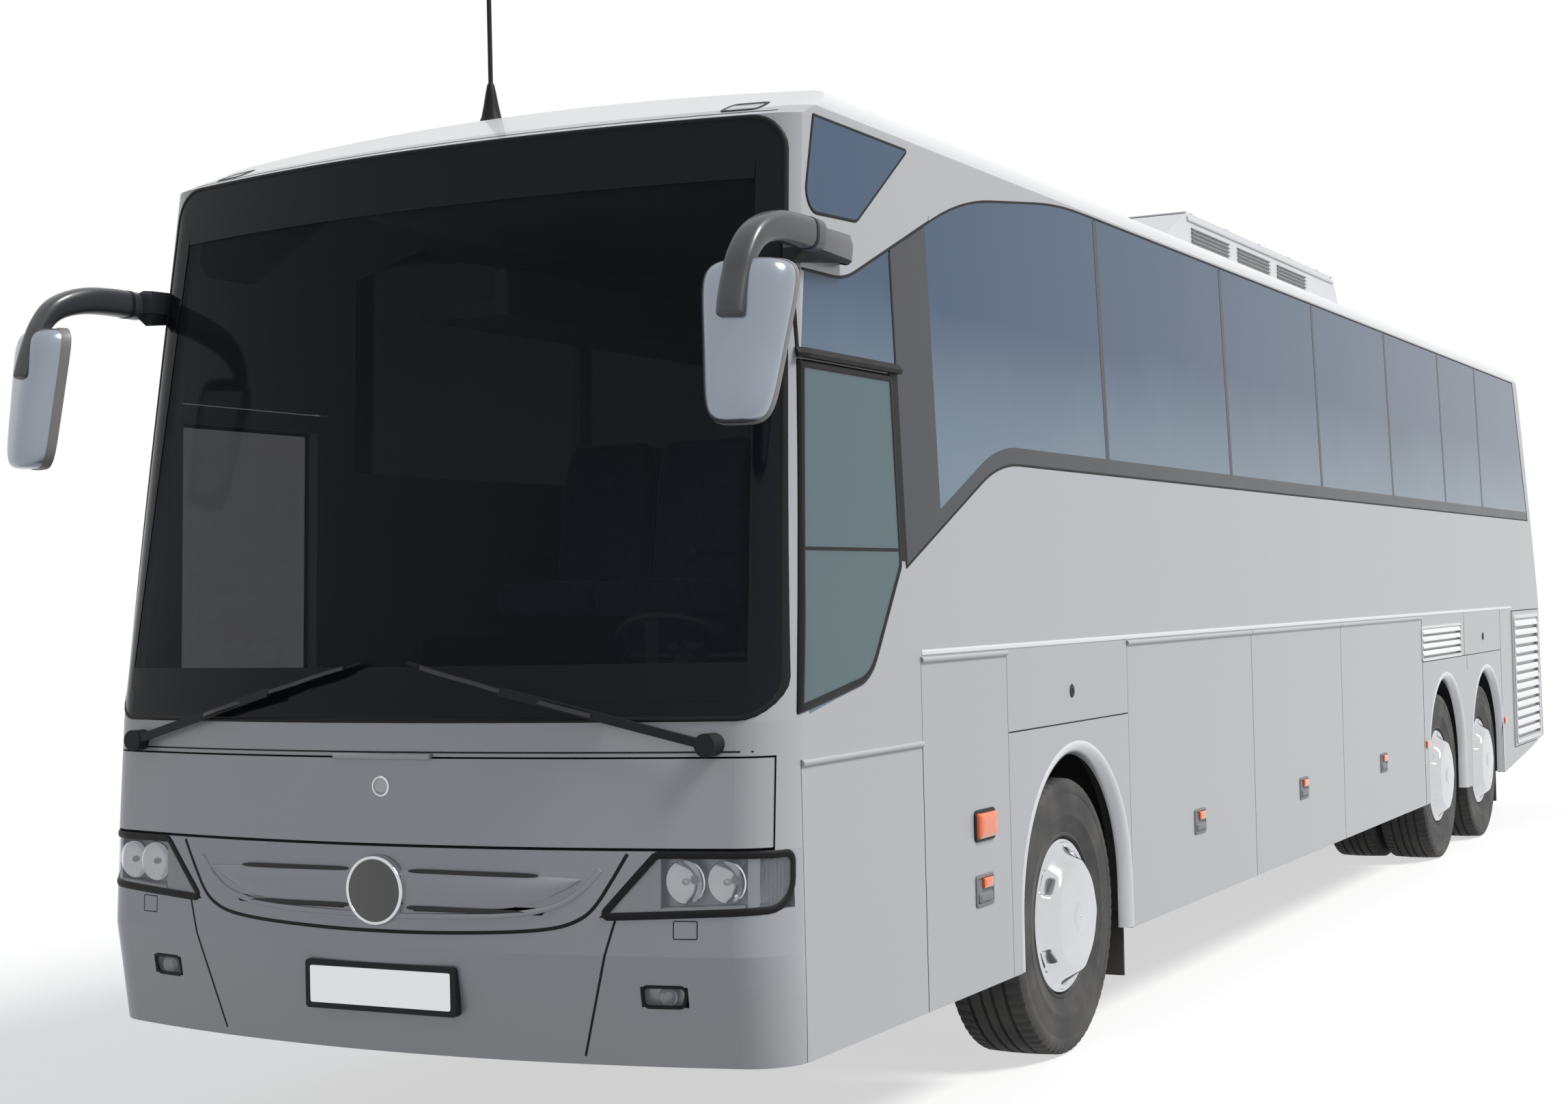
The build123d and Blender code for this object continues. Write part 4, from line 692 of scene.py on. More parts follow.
lamp_rubber = [bead(lamp, lamp_radii, 0.002, 0.022, round_corner, 0.004, 0.010),
               bead(fog, fog_radius, 0.0, 0.010, round_corner, 0.003, 0.012)]
both("headlamp_rubber", lamp_rubber, rubber, slot="black_trim")
edges = [(outline(lamp, lamp_radii, width, 6, 10), -depth)
         for width, depth in ((0.004, 0.006), (0.012, 0.020), (0.018, 0.052))]
tray = np.stack([round_corner(ring, out) for ring, out in edges])
tray_middle = round_corner(edges[2][0].mean(0)[None], -0.052)
tray_back = tray_middle + (tray[2] - tray_middle) * np.array([0.7, 0.4, 0.1])[:, None, None]
tray_skin = np.concatenate([tray, tray_back])
both("headlamp_tray", [shell(np.concatenate([(tray_skin + [0, 0.004, 0])[::-1], tray_skin]))], tray_silver,
     slot="lamp_lens")
bezel = [(0.772, 0.838), (0.935, 0.845), (0.935, 1.000), (0.922, 1.000)]
bar = [(1.196, 0.858), (1.232, 0.862), (1.232, 1.002), (1.196, 1.002)]
ledge = [(0.92, 0.842), (1.19, 0.851), (1.19, 0.868), (0.94, 0.858)]
bezels = [filled(bezel, 0.006, round_corner, -0.008, -0.016),
          filled(bar, 0.004, round_corner, -0.005, -0.040),
          filled(ledge, 0.004, round_corner, -0.006, -0.045)]
both("headlamp_bezel", bezels, tray_silver, slot="lamp_lens")
cups, bulbs = [], []
globe = np.linspace(0, np.pi, 9)[1:-1]
for x, radius in ((0.995, 0.062), (1.115, 0.060)):
    spot = np.array([x, float(front_y(x, 0.932)) + 0.014, 0.932])
    cups.append(bowl(spot, radius, 0.030))
    tip = np.stack([0.015 * np.cos(globe), 0.011 * np.sin(globe)], 1)
    bulbs.append(turned(tip, spot + [0, 0.006, 0], 20, lengthwise))
both("headlamp_reflectors", cups, bright, slot="lamp_lens", crease=1.2)
both("headlamp_bulbs", bulbs, bulb, slot="lamp_lens", crease=1.2)
ribs = [filled(box(place - 0.005, 0.872, place + 0.005, 0.998), 0.002, round_corner, -0.014, -0.020)
        for place in np.linspace(1.242, 1.326, 7)]
both("turn_lamp_ribs", ribs, smoked, slot="lamp_lens")
fog_spot = np.array([0.936, float(front_y(0.936, 0.602)) + 0.010, 0.602])
fog_back = filled(fog, fog_radius, round_corner, -0.026, -0.030)
both("fog_reflector", [bowl(fog_spot, 0.027, 0.018), fog_back], tray_silver, slot="lamp_lens")

# Grille and badge: dark bars fill the four slots as painted shade, a bright ring holds a plain black
# disc, and a thin black seam runs round the lower edge where the panel meets the bumper.


def grille_top(x):
    """The upper line of the grille's raised middle, a flat arc."""
    return 0.945 + 0.016 * (1 - (x / 0.72) ** 2)


def leaf_edge(x):
    """The lower line of the grille's raised middle: nearly level, then up to the two tips."""
    return 0.838 + 0.098 * np.clip((np.abs(x) - 0.36) / 0.34, 0, 1) ** 2.2


def slat(x_line, low, high, proud, sink=-0.012):
    """A long bar over the front's face: its section swells to the given height between its edges."""
    rows = [on_front(np.stack([x_line, low], 1), sink)]
    rows += [on_front(np.stack([x_line, low + (high - low) * share], 1), proud * np.sin(np.pi * share) ** 0.6)
             for share in (0.02, 0.12, 0.3, 0.5, 0.7, 0.88, 0.98)]
    rows += [on_front(np.stack([x_line, high], 1), sink)]
    return shell(np.stack(rows, 1))


across = np.linspace(-0.690, 0.690, 90)
leaf = slat(across, leaf_edge(across) + 0.004, grille_top(across) - 0.006, 0.010)
piece("grille_middle", [leaf], bumper_silver, slot="body_paint", crease=0.9)
# The slots' dark bars are painted shade, standing for the dark inside the openings.
slot_shade_bars = []
for hand in (-1, 1):
    for near, far, height in ((0.112, 0.553, 0.950), (0.108, 0.514, 0.841)):
        bar_x = hand * np.linspace(near, far, 40)
        bar_z = height - 0.004 * ((np.abs(bar_x) - near) / (far - near))
        half = 0.007 * np.sqrt(1 - np.linspace(-0.99, 0.99, 40) ** 8)
        rows = [on_front(np.stack([bar_x, bar_z + way * half], 1), out)
                for way, out in ((-1, -0.004), (-1, 0.0045), (1, 0.0060), (1, -0.004))]
        slot_shade_bars.append(shell(np.stack(rows, 1)))
piece("grille_slot_shades", slot_shade_bars, slot_shade_and_lock_dark, slot="black_trim")
ring_profile = [(0.024, 0.106), (0.004, 0.106), (-0.004, 0.103), (-0.006, 0.099), (-0.004, 0.095),
                (0.000, 0.093), (0.024, 0.093)]
disc_profile = [(0.022, 0.0935), (-0.0005, 0.0935), (-0.0015, 0.084), (-0.0025, 0.050), (-0.003, 0.004)]
badge_place = [0, front_axle_y - 2.632, 0.89]
black_gloss = finish("black_gloss", (0.010, 0.011, 0.013), 0.12, coat=0.9, drift=0.3, drift_size=0.05)
badge_ring = turned(ring_profile, badge_place, 72, lengthwise)
piece("badge_ring", [badge_ring], chrome, slot="wheel_steel", crease=0.9)
piece("badge_disc", [turned(disc_profile, badge_place, 72, lengthwise)], black_gloss, slot="black_trim")
small_ring = [(0.008, 0.032), (0.001, 0.032), (-0.001, 0.030), (0.0, 0.026), (0.003, 0.025), (0.008, 0.025)]
small_disc = [(0.008, 0.0255), (0.003, 0.0255), (0.002, 0.012), (0.002, 0.002)]
small_place = [0, float(front_y(0, 1.20)) - 0.004, 1.20]
for name, profile, paint in (("ring", small_ring, chrome), ("disc", small_disc, tray_silver)):
    shape = turned(profile, small_place, 72, lengthwise)
    piece("upper_badge_" + name, [shape], paint, "front_flap", "wheel_steel")


def two_halves(middle, half):
    """A line's points from side to side, from the height of its middle and its left half."""
    return [(-x, z) for x, z in half[::-1]] + [(0.0, middle)] + half


def smooth_path(points, count):
    """Points on a curve through the given ones: each span is the cubic whose slope at a point
    is half the step between that point's neighbours."""
    p = np.array(points, float)
    p = np.concatenate([[2 * p[0] - p[1]], p, [2 * p[-1] - p[-2]]])
    t = np.linspace(0, len(points) - 1, count)
    i = np.minimum(t.astype(int), len(points) - 2)
    f = (t - i)[:, None]
    a, b, c, d = p[i], p[i + 1], p[i + 2], p[i + 3]
    square, cube = 2 * a - 5 * b + 4 * c - d, 3 * b - a - 3 * c + d
    return 0.5 * (2 * b + (c - a) * f + square * f ** 2 + cube * f ** 3)


def strip_along(line, width, proud, sink=-0.003):
    """A low moulded strip that follows a line on the front: a half-round crown on a flat foot."""
    along = np.gradient(line, axis=0)
    along /= np.linalg.norm(along, axis=1, keepdims=True)
    aside = np.stack([-along[:, 1], along[:, 0]], 1) * width / 2
    rows = [on_front(line - aside, sink)]
    rows += [on_front(line + aside * np.cos(a), proud * np.sin(a)) for a in np.linspace(np.pi, 0, 7)]
    return shell(np.stack(rows + [on_front(line + aside, sink)], 1))


seam_half = [(0.200, 0.770), (0.450, 0.780), (0.600, 0.795), (0.680, 0.820), (0.730, 0.858), (0.780, 0.930),
             (0.830, 1.012)]
lip_half = [(0.200, 0.818), (0.400, 0.826), (0.540, 0.842), (0.630, 0.868), (0.700, 0.915), (0.748, 0.966)]
seam_curve = smooth_path(two_halves(0.768, seam_half), 160)
lip_curve = smooth_path(two_halves(0.816, lip_half), 140)
piece("grille_seam", [strip_along(seam_curve, 0.011, 0.0016)], rubber, slot="black_trim")
piece("grille_lip", [strip_along(lip_curve, 0.018, 0.006)], bumper_silver, slot="body_paint", crease=1.0)

# Bumper: moulded plastic in three lengths, so two slanting seams; square covers hide the
# towing eyes; the plate sits in a black frame on the middle length, with nothing on it.


def seam_line(start, end, width, lay=on_front, count=24):
    """A flush black strip between two places on a face."""
    start, end, t = np.array(start), np.array(end), np.linspace(0, 1, count)[:, None]
    line = start * (1 - t) + end * t
    along = (end - start) / np.linalg.norm(end - start)
    aside = np.array([-along[1], along[0]]) * width / 2
    return between(line - aside, line + aside, 0.0006, lay)


def flat_plate(width, height, corner_radius, out, sink):
    """A flat plate that faces ahead on the bumper, with round corners."""
    def lay(xz, depth):
        return np.stack([xz[..., 0], np.full(xz.shape[:-1], depth), xz[..., 1]], -1) + plate_place
    return filled(box(-width / 2, -height / 2, width / 2, height / 2), corner_radius, lay, out, sink)


bumper_lines = []
for hand in (-1, 1):
    bumper_lines.append(seam_line((hand * 0.796, 0.826), (hand * 0.672, 0.420), 0.007))
    cover = box(hand * 0.968, 0.770, hand * 1.040, 0.824)
    bumper_lines.append(border(cover, 0.006, 0.0, 0.0028, on_front, -0.002, 0.0006))
bumper_lines.append(seam_line((-1.19, 1.303), (1.19, 1.303), 0.005, count=60))
piece("bumper_seams", bumper_lines, rubber, slot="black_trim")
plate_place = np.array([0, float(front_y(0, 0.596)), 0.596])
piece("plate_frame", [flat_plate(0.560, 0.148, 0.012, -0.014, 0.012)], black_moulding, slot="black_trim")
glowing_plate_white = finish("glowing_plate_white", (0.86, 0.86, 0.86), 0.35, coat=0.4, drift=0.01, grain=0.1,
                     grain_size=0.001)
# The plate's emission is painted light: the blank glows to look brightly lit, though it is no lamp.
plate_sheet = glowing_plate_white.node_tree.nodes["Principled BSDF"]
feed(glowing_plate_white.node_tree, plate_sheet, {"Emission Color": (1.0, 1.0, 1.0, 1), "Emission Strength": 0.40})
piece("plate_blank", [flat_plate(0.520, 0.112, 0.006, -0.0165, -0.013)], glowing_plate_white, slot="roof_plastic")

# Wheel arches: a pressed lip is rolled inwards round each arch, its paint lighter than the body's as a
# painted highlight on the edge; black plastic liners close the wheel houses behind it.
arches = ((0.0, 0.585), (drive_station, 0.560), (tag_station, 0.560))
arch_top = 1.162


def arch_band(station, radius, section, foot=0.40):
    """A section of (x, distance in from the arch) carried up one side, over the arch and down."""
    turn = np.linspace(0, np.pi, 49)
    rows = []
    for x, inward in section:
        r = radius - inward
        y = np.concatenate([[r], r * np.cos(turn), [-r]])
        z = np.concatenate([[foot], arch_top - radius + r * np.sin(turn), [foot]])
        rows.append(np.stack([np.full(len(y), x), front_axle_y + station + y, z], -1))
    return shell(np.stack(rows, 1))


lip_section = [(1.2752, -0.016), (1.2790, -0.010), (1.2800, -0.002), (1.2780, 0.006), (1.2680, 0.022),
               (1.2450, 0.034), (1.2290, 0.036), (1.2290, 0.033), (1.2440, 0.030), (1.2650, 0.018),
               (1.2720, 0.002), (1.2735, -0.014)]
# The lip's lighter silver is a painted highlight on the rolled edge; the air grids' frames share it.
lip_highlight_and_frame_paint = finish("arch_lip", (0.62, 0.63, 0.65), 0.32, metallic=0.35, coat=0.6, drift=0.05, drift_size=0.3,
                   dust=0.25, dust_top=0.8)
lips = [arch_band(*arch, lip_section) for arch in arches]
both("arch_lips", lips, lip_highlight_and_frame_paint, slot="body_paint", crease=0.8)
liner_black = finish("arch_liner", (0.014, 0.014, 0.015), 0.8, drift=0.4, drift_size=0.1, grain=0.6,
                     grain_size=0.006, dust=0.3)
liners = []
for station, radius in arches:
    # The front liners are narrow, so that the steered tyre passes them.
    inner_x = 0.640 if station else 1.185
    liner_section = [(inner_x, 0.002), (1.222, 0.002), (1.222, 0.006), (inner_x, 0.006)]
    liners.append(arch_band(station, radius, liner_section, 0.46))
both("arch_liners", liners, liner_black, slot="chassis_paint")

# Belt strip and panel seams of the sides: a bright strip runs along the belt, a painted highlight for
# the hinge lip there; black sealed joints part the panel over the front wheel and the one over the bogie.


def raised(corners, radii, steps):
    """A form that rises from a side: its outline drawn in by each step's first value and laid at
    its second."""
    rings = [on_left(outline(corners, radii, width, 6, 4), height) for width, height in steps]
    last = rings[-1]
    middle = last.mean(0)
    rings += [middle + (last - middle) * share for share in (0.6, 0.2, 0.04)]
    return shell(np.stack(rings))


strip_steps = [(0.0, -0.002), (0.0, 0.002), (0.003, 0.0045), (0.006, 0.005)]
# The strip's bright silver is a painted highlight where the belt's hinge lip catches the light; the rear
# bumper's strip shares it.
belt_highlight_and_bumper_strip = finish("belt_strip", (0.72, 0.73, 0.74), 0.25, metallic=0.6, coat=0.5, drift=0.04)
for side, start, end in (("left", -1.405, 9.040), ("right", -1.195, 5.200)):
    strip = raised(box(start, 1.545, end, 1.562), 0.002, strip_steps)
    piece("%s_belt_strip" % side, for_side(side, [strip]), belt_highlight_and_bumper_strip, slot="body_paint")
joint_ends = (((-0.672, 1.250), (0.596, 1.250)), ((6.050, 1.262), (8.600, 1.262)),
              ((8.600, 1.262), (8.600, 0.402)), ((7.400, 1.262), (7.400, 1.165)),
              ((6.050, 1.540), (6.050, 0.402)), ((7.330, 1.540), (7.330, 1.262)),
              ((8.600, 1.540), (8.600, 1.262)))
both("panel_joints", [seam_line(a, b, 0.005, on_left) for a, b in joint_ends], rubber, slot="black_trim")

# Side lamps, latches and locks: amber lenses on black seats; flush grey pull latches with an
# amber reflector in one quarter; small round locks with a dark key slot.


def oblong(station, height, length, rise):
    """The corners of an upright oblong about a place."""
    return box(station - length / 2, height - rise / 2, station + length / 2, height + rise / 2)


lamp_steps = [(0.0, 0.004), (0.002, 0.016), (0.008, 0.021), (0.020, 0.023)]
seat_steps = [(-0.010, -0.002), (-0.010, 0.004), (-0.006, 0.007), (0.004, 0.007)]
small_steps = [(0.0, 0.002), (0.001, 0.009), (0.006, 0.012)]
latch_steps = [(0.0, -0.002), (0.0, 0.004), (0.004, 0.006), (0.010, 0.006), (0.014, 0.001)]
lock_steps = [(0.0, -0.002), (0.0, 0.003), (0.003, 0.005), (0.012, 0.005), (0.014, 0.001)]
latch_grey = finish("latch_grey", (0.16, 0.165, 0.175), 0.45, drift=0.1, drift_size=0.05, grain=0.3)
side_fittings = (("left", "left_locker_flap", -0.917, 4.959, 8.680),
                 ("right", "coach_body", -0.800, 4.640, 8.983))
grip_steps = [(0, 0), (0.001, 0.006), (0.007, 0.010)]
for side, body, station, third_place, last_marker in side_fittings:
    lamp_box = oblong(station, 0.952, 0.165, 0.088)
    lamp_seat = for_side(side, [raised(lamp_box, 0.012, seat_steps)])
    lamp_cover = for_side(side, [raised(lamp_box, 0.010, lamp_steps)])
    piece("%s_side_lamp_seat" % side, lamp_seat, black_moulding, body, "black_trim")
    piece("%s_side_lamp" % side, lamp_cover, amber, body, "lamp_lens")
    spots = [("a", body, station - 0.013, 0.732)]
    for number, place in enumerate((1.506, 3.232, third_place), 1):
        spots.append(("b%d" % number, "luggage_flap_%s_%d" % (side, number), place, 0.733))
    for tag, carrier, place, height in spots:
        latch = for_side(side, [raised(oblong(place, height, 0.155, 0.108), 0.012, latch_steps),
                                raised(oblong(place, height - 0.024, 0.120, 0.034), 0.008, grip_steps)])
        reflector = raised(oblong(place + 0.020, height + 0.024, 0.080, 0.036), 0.005, small_steps)
        piece("%s_latch_%s" % (side, tag), latch, latch_grey, carrier, "black_trim")
        piece("%s_reflector_%s" % (side, tag), for_side(side, [reflector]), amber, carrier, "lamp_lens")
    marks = [raised(oblong(place, 0.760, 0.062, 0.042), 0.006, small_steps) for place in (6.110, last_marker)]
    piece("%s_markers" % side, for_side(side, marks), amber, slot="lamp_lens")
locks = []
for place, height in ((-0.033, 1.368), (7.960, 1.372)):
    circle = [(place + 0.022 * np.cos(a), height + 0.026 * np.sin(a)) for a in np.arange(8) * np.pi / 4]
    locks.append(raised(circle, 0.004, lock_steps))
    locks.append(raised(oblong(place, height, 0.006, 0.024), 0.002, [(0, 0), (0, 0.004), (0.001, 0.006)]))
both("locks", locks, slot_shade_and_lock_dark, slot="black_trim")

# Air grids: white slats with a sloping face, set in a bright frame, dark gauze behind.
# The larger one is the radiator's flap, the smaller one is let into the side over the axle.
slat_white = finish("slat_white", (0.80, 0.81, 0.83), 0.35, coat=0.4, drift=0.05, drift_size=0.3, dust=0.12,
                    dust_top=1.5)
gauze = finish("grid_gauze", (0.025, 0.025, 0.028), 0.7, drift=0.3, drift_size=0.02, grain=0.8,
               grain_size=0.006)


def slats(front, rear, low, high, count, share=0.42):
    """A bank of slats: each hangs over its slot, its foot standing out past its head."""
    rise = (high - low) / count
    made = []
    for place in range(count):
        foot = low + (place + share) * rise - 0.004
        head = low + (place + 1) * rise - 0.002
        ring = [(1.2700, foot + 0.006), (1.2830, foot), (1.2835, foot + 0.003), (1.2775, head - 0.004),
                (1.2765, head), (1.2700, head)]
        made.append(shell(np.array([[(x, front_axle_y + y, z) for x, z in ring] for y in (front, rear)])))
    return made


grid_frame = border(oblong(9.630, 1.030, 0.950, 0.890), 0.02, -0.022, 0.004, on_left, -0.001, 0.007)
small_frame = border(oblong(6.625, 1.3725, 1.150, 0.186), 0.012, -0.014, 0.002, on_left, -0.001, 0.006)
grid_back = upright(9.165, 10.095, 0.595, 1.450, -0.0142, -0.0150)
piece("radiator_slats", slats(9.172, 10.088, 0.600, 1.455, 13), slat_white, "radiator_flap", "body_paint")
piece("radiator_frame", [grid_frame], lip_highlight_and_frame_paint, "radiator_flap", "body_paint")
piece("small_grid_slats", slats(6.062, 7.188, 1.285, 1.460, 4), slat_white, slot="body_paint")
piece("small_grid_frame", [small_frame], lip_highlight_and_frame_paint, slot="body_paint")
piece("radiator_gauze", [grid_back], gauze, "radiator_flap", "black_trim")

# Doors on the coach's right: each leaf has two bonded panes in black rubber, a rubber edge all
# round that closes on the body, and a raised pull handle.
for name, front, rear, top in (("front_door", -2.160, -1.290, 2.470), ("mid_door", 5.285, 5.985, 2.180)):
    upper = box(front + 0.070, 1.050, rear - 0.070, top - 0.070)
    lower = box(front + 0.070, 0.640, rear - 0.070, 0.980)
    leaf = box(front + 0.006, 0.415, rear - 0.006, top - 0.006)
    beads = [bead(upper, 0.020, 0.0, 0.024, on_left, 0.006), bead(lower, 0.020, 0.0, 0.024, on_left, 0.006),
             bead(leaf, 0.030, 0.004, 0.014, on_left, 0.004)]
    pull = filled(box(rear - 0.050, 1.180, rear - 0.022, 1.340), 0.012, on_left, 0.012, -0.002, 0.004)
    piece(name + "_seals", for_side("right", beads), rubber, body=name, slot="black_trim")
    piece(name + "_pull", for_side("right", [pull]), latch_grey, body=name, slot="black_trim")

# Mirrors: a silver plastic shell holds two panes behind it. A grey cast arm comes forward
# from a bracket on the side, bends down over the shell and clamps its inner half.


def swept(path, steps=32, power=3.0):
    """A tube along (x, y, z, half width, half depth): its section is a superellipse, wide along
    x and deep along the normal of the path's own line in the side view."""
    along = np.gradient(path[:, 1:3], axis=0)
    along /= np.linalg.norm(along, axis=1, keepdims=True)
    angle = np.arange(steps) * 2 * np.pi / steps
    wide, deep = (np.sign(c) * np.abs(c) ** (2 / power) for c in (np.cos(angle), np.sin(angle)))
    x = path[:, :1] + path[:, 3:4] * wide
    y = path[:, 1:2] - along[:, 1:2] * path[:, 4:5] * deep
    z = path[:, 2:3] + along[:, :1] * path[:, 4:5] * deep
    return shell(np.stack([x, y, z], -1))


def round_end(tip, beside, length=0.012, rows=5):
    """The rows that close a path's end on a quarter round, from outside to the end itself."""
    turn = np.linspace(0.12, 1, rows)[:, None] * np.pi / 2
    lead = (tip - beside)[:3] / np.linalg.norm((tip - beside)[:3])
    places = tip[None, :3] + lead * length * np.cos(turn)
    return np.concatenate([places, np.maximum(tip[None, 3:] - length * (1 - np.sin(turn)), 0.001)], 1)[:-1]


def mirror_ring(drop, out, back, stance):
    """The head's outline at shares of its drop: wide at the top and narrower below, leaning
    forward as it drops; the front bulges as a superellipse, the rear is straight. The whole
    outline is turned about the upright line through its middle."""
    turn, top_x, low_x, top_y, low_y = stance
    v = np.asarray(drop, float)[:, None]
    round_on = np.linspace(0, np.pi, 49)[None]
    ends = (1 - np.abs(2 * v - 1) ** 7) ** (1 / 4)
    half = (0.146 - 0.055 * v) * ends + out
    across = half * np.sign(np.cos(round_on)) * np.abs(np.cos(round_on)) ** 0.66
    deep = back - (0.100 * ends ** 0.6 + out) * np.sin(round_on) ** 0.74
    x = top_x + (low_x - top_x) * v + across * np.cos(turn) - deep * np.sin(turn)
    y = top_y + (low_y - top_y) * v + across * np.sin(turn) + deep * np.cos(turn)
    z = 2.690 - 0.462 * v + 0 * round_on + out * (1 - 2 * v)
    return np.stack([x, y, z], -1)


def rear_loop(drop, out, back, stance):
    """The straight rear of the head's outline as one loop, down one edge and up the other."""
    ends = mirror_ring(drop, out, back, stance)[:, [0, -1]]
    return np.concatenate([ends[:, 0], ends[::-1, 1]])


def bracket_ring(y, swell):
    """The bracket's upper half and its foot at a place along the side."""
    share, wall = (y + 6.05) / 0.35, float(side_x(2.80))
    top, fold, low = 2.850 + 0.010 * share, 2.772 - 0.004 * share, 2.728 + 0.040 * share
    upper = [(wall - 0.012, top - 0.004), (wall + swell * 0.6, top), (wall + swell + 0.026, top - 0.012),
             (wall + swell + 0.036, (top + fold) / 2), (wall + swell + 0.030, fold), (wall - 0.012, fold)]
    foot = [(wall - 0.012, fold - 0.001), (wall + swell + 0.030, fold - 0.001),
            (wall + swell + 0.018, fold - 0.010), (wall + swell * 0.4, low), (wall - 0.012, low)]
    return [[(x, y, z) for x, z in ring] for ring in (upper, foot)]


drop = 0.0005 + 0.999 * (1 - np.cos(np.linspace(0, np.pi, 41))) / 2
arm_grey = finish("mirror_arm_grey", (0.040, 0.042, 0.048), 0.38, coat=0.3, drift=0.1, drift_size=0.3,
                  grain=0.2)
# The shell's silver is darkened and tinted blue, a painted reflection of a blue sky.
mirror_silver_reflection_blue = finish("mirror_shell", (0.30, 0.335, 0.39), 0.24, metallic=0.7, coat=0.3, drift=0.05,
                       drift_size=0.15, grain=0.04, grain_size=0.001)
mirror_edge = finish("mirror_edge", (0.20, 0.195, 0.19), 0.45, drift=0.1, drift_size=0.1, grain=0.3)
looking_glass = finish("looking_glass", (0.72, 0.76, 0.80), 0.03, metallic=1.0, drift=0.02, drift_size=0.2,
                       grain=0.02)
stances = {"left": (0.20, 1.295, 1.270, -6.383, -6.440), "right": (0.45, 1.350, 1.385, -6.385, -6.425)}
arm_lines = {
    "left": [(1.318, -6.040, 2.800, 0.042, 0.047), (1.318, -6.170, 2.802, 0.041, 0.046),
             (1.313, -6.290, 2.796, 0.042, 0.044), (1.304, -6.385, 2.762, 0.043, 0.038),
             (1.296, -6.447, 2.700, 0.044, 0.030), (1.291, -6.480, 2.630, 0.043, 0.024),
             (1.290, -6.504, 2.570, 0.042, 0.021), (1.290, -6.516, 2.532, 0.041, 0.018)],
    "right": [(1.300, -6.040, 2.800, 0.040, 0.047), (1.300, -6.170, 2.802, 0.039, 0.046),
              (1.304, -6.300, 2.792, 0.038, 0.044), (1.318, -6.400, 2.758, 0.036, 0.038),
              (1.336, -6.452, 2.700, 0.034, 0.030), (1.350, -6.482, 2.630, 0.032, 0.024),
              (1.360, -6.500, 2.570, 0.030, 0.021), (1.366, -6.510, 2.532, 0.029, 0.018)],
}
bracket_places = ((-6.052, 0.040), (-6.046, 0.046), (-5.900, 0.036), (-5.730, 0.022), (-5.704, 0.016),
                  (-5.698, 0.004))
halves = zip(*(bracket_ring(y, swell) for y, swell in bracket_places))
bracket, bracket_foot = (shell(np.array(half)) for half in halves)
collar_steps = np.array([[0, 0, 0, -0.004, -0.004], [0, -0.0004, 0, 0.0012, 0.0012],
                         [0, -0.0008, 0, 0.0012, 0.0012], [0, -0.0017, 0, -0.004, -0.004]])
rim_steps = ((0.0005, -0.012), (0.003, -0.002), (0.003, 0.018), (-0.002, 0.022), (-0.014, 0.020),
             (-0.015, 0.010))
for side, stance in stances.items():
    head = shell(mirror_ring(drop, 0.0, 0.0, stance))
    rim = shell(np.stack([rear_loop(drop, out, back, stance) for out, back in rim_steps]))
    panes = [shell(np.stack([rear_loop(rows, -0.017, back, stance) for back in (0.008, 0.0125)]))
             for rows in (np.linspace(0.060, 0.620, 12), np.linspace(0.650, 0.945, 12))]
    path = smooth_path(arm_lines[side], 60)
    arm = swept(np.concatenate([round_end(path[0], path[1]), path, round_end(path[-1], path[-2])[::-1]]))
    collar = swept(path[[3, 3, 4, 4]] + collar_steps)
    for name, shapes, paint, slot, crease in (
            ("shell", [head], mirror_silver_reflection_blue, "body_paint", 1.0),
            ("rim", [rim], mirror_edge, "black_trim", 0.8),
            ("panes", panes, looking_glass, "wheel_steel", 0.6),
            ("arm", [arm], arm_grey, "black_trim", 1.0),
            ("bracket", [bracket], arm_grey, "black_trim", 0.5),
            ("bracket_foot", [bracket_foot, collar], black_moulding, "black_trim", 0.5)):
        made = piece("%s_mirror_%s" % (side, name), for_side(side, shapes), paint, slot=slot, crease=crease)
        if side == "left" and name in ("shell", "arm"):
            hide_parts("mirror_heads" if name == "shell" else "mirror_arms")

# Roof: the cooling unit is a long white moulding in bolted lengths with air grids along its
# flanks. Small clear marker lamps sit over the windscreen, and the aerial stands on a rubber foot.
unit_front, unit_rear, unit_half, unit_top, roof_z = 2.190, 6.160, 0.830, 3.630, 3.360
hatch_half, hatch_top = 0.335, 3.4055


def on_unit(yx, rise=0.0):
    """Points (station, x) on the roof unit: flat along the top, sloping at both ends."""
    bends = [unit_front, unit_front + 0.780, unit_rear - 0.250, unit_rear]
    slope = np.interp(yx[..., 0], bends, [roof_z, unit_top, unit_top, roof_z])
    return np.stack([yx[..., 1], yx[..., 0] + front_axle_y, slope + rise], -1)


def on_flank(yz, proud=0.0):
    """Points (station, height) on the unit's left flank."""
    return np.stack([np.full(len(yz), unit_half + proud), yz[:, 0] + front_axle_y, yz[:, 1]], -1)


across_unit = np.linspace(-0.826, 0.826, 40)
ribs = []
for place in (2.985, 3.780, 4.560, 5.330, 5.900):
    rows = [on_unit(np.stack([np.full(40, place + along), across_unit], 1), up)
            for along, up in ((-0.012, -0.002), (-0.010, 0.004), (0.010, 0.004), (0.012, -0.002))]
    ribs.append(shell(np.stack(rows, 1)))
piece("roof_unit_joints", ribs, gel_coat, slot="roof_plastic")
flange_section = ((0.0, -0.004), (0.0, 0.006), (0.004, 0.008), (0.020, 0.006), (0.024, -0.004))
flange = ribbon(level(unit_front + 0.79, unit_rear - 0.26, 3.590, 50), flange_section, on_flank)
piece("roof_unit_flange", [flange, mirrored(flange)], gel_coat, slot="roof_plastic")
leaf_section = ((0, -0.002), (-0.004, 0.008), (0.002, 0.009), (0.008, -0.002))
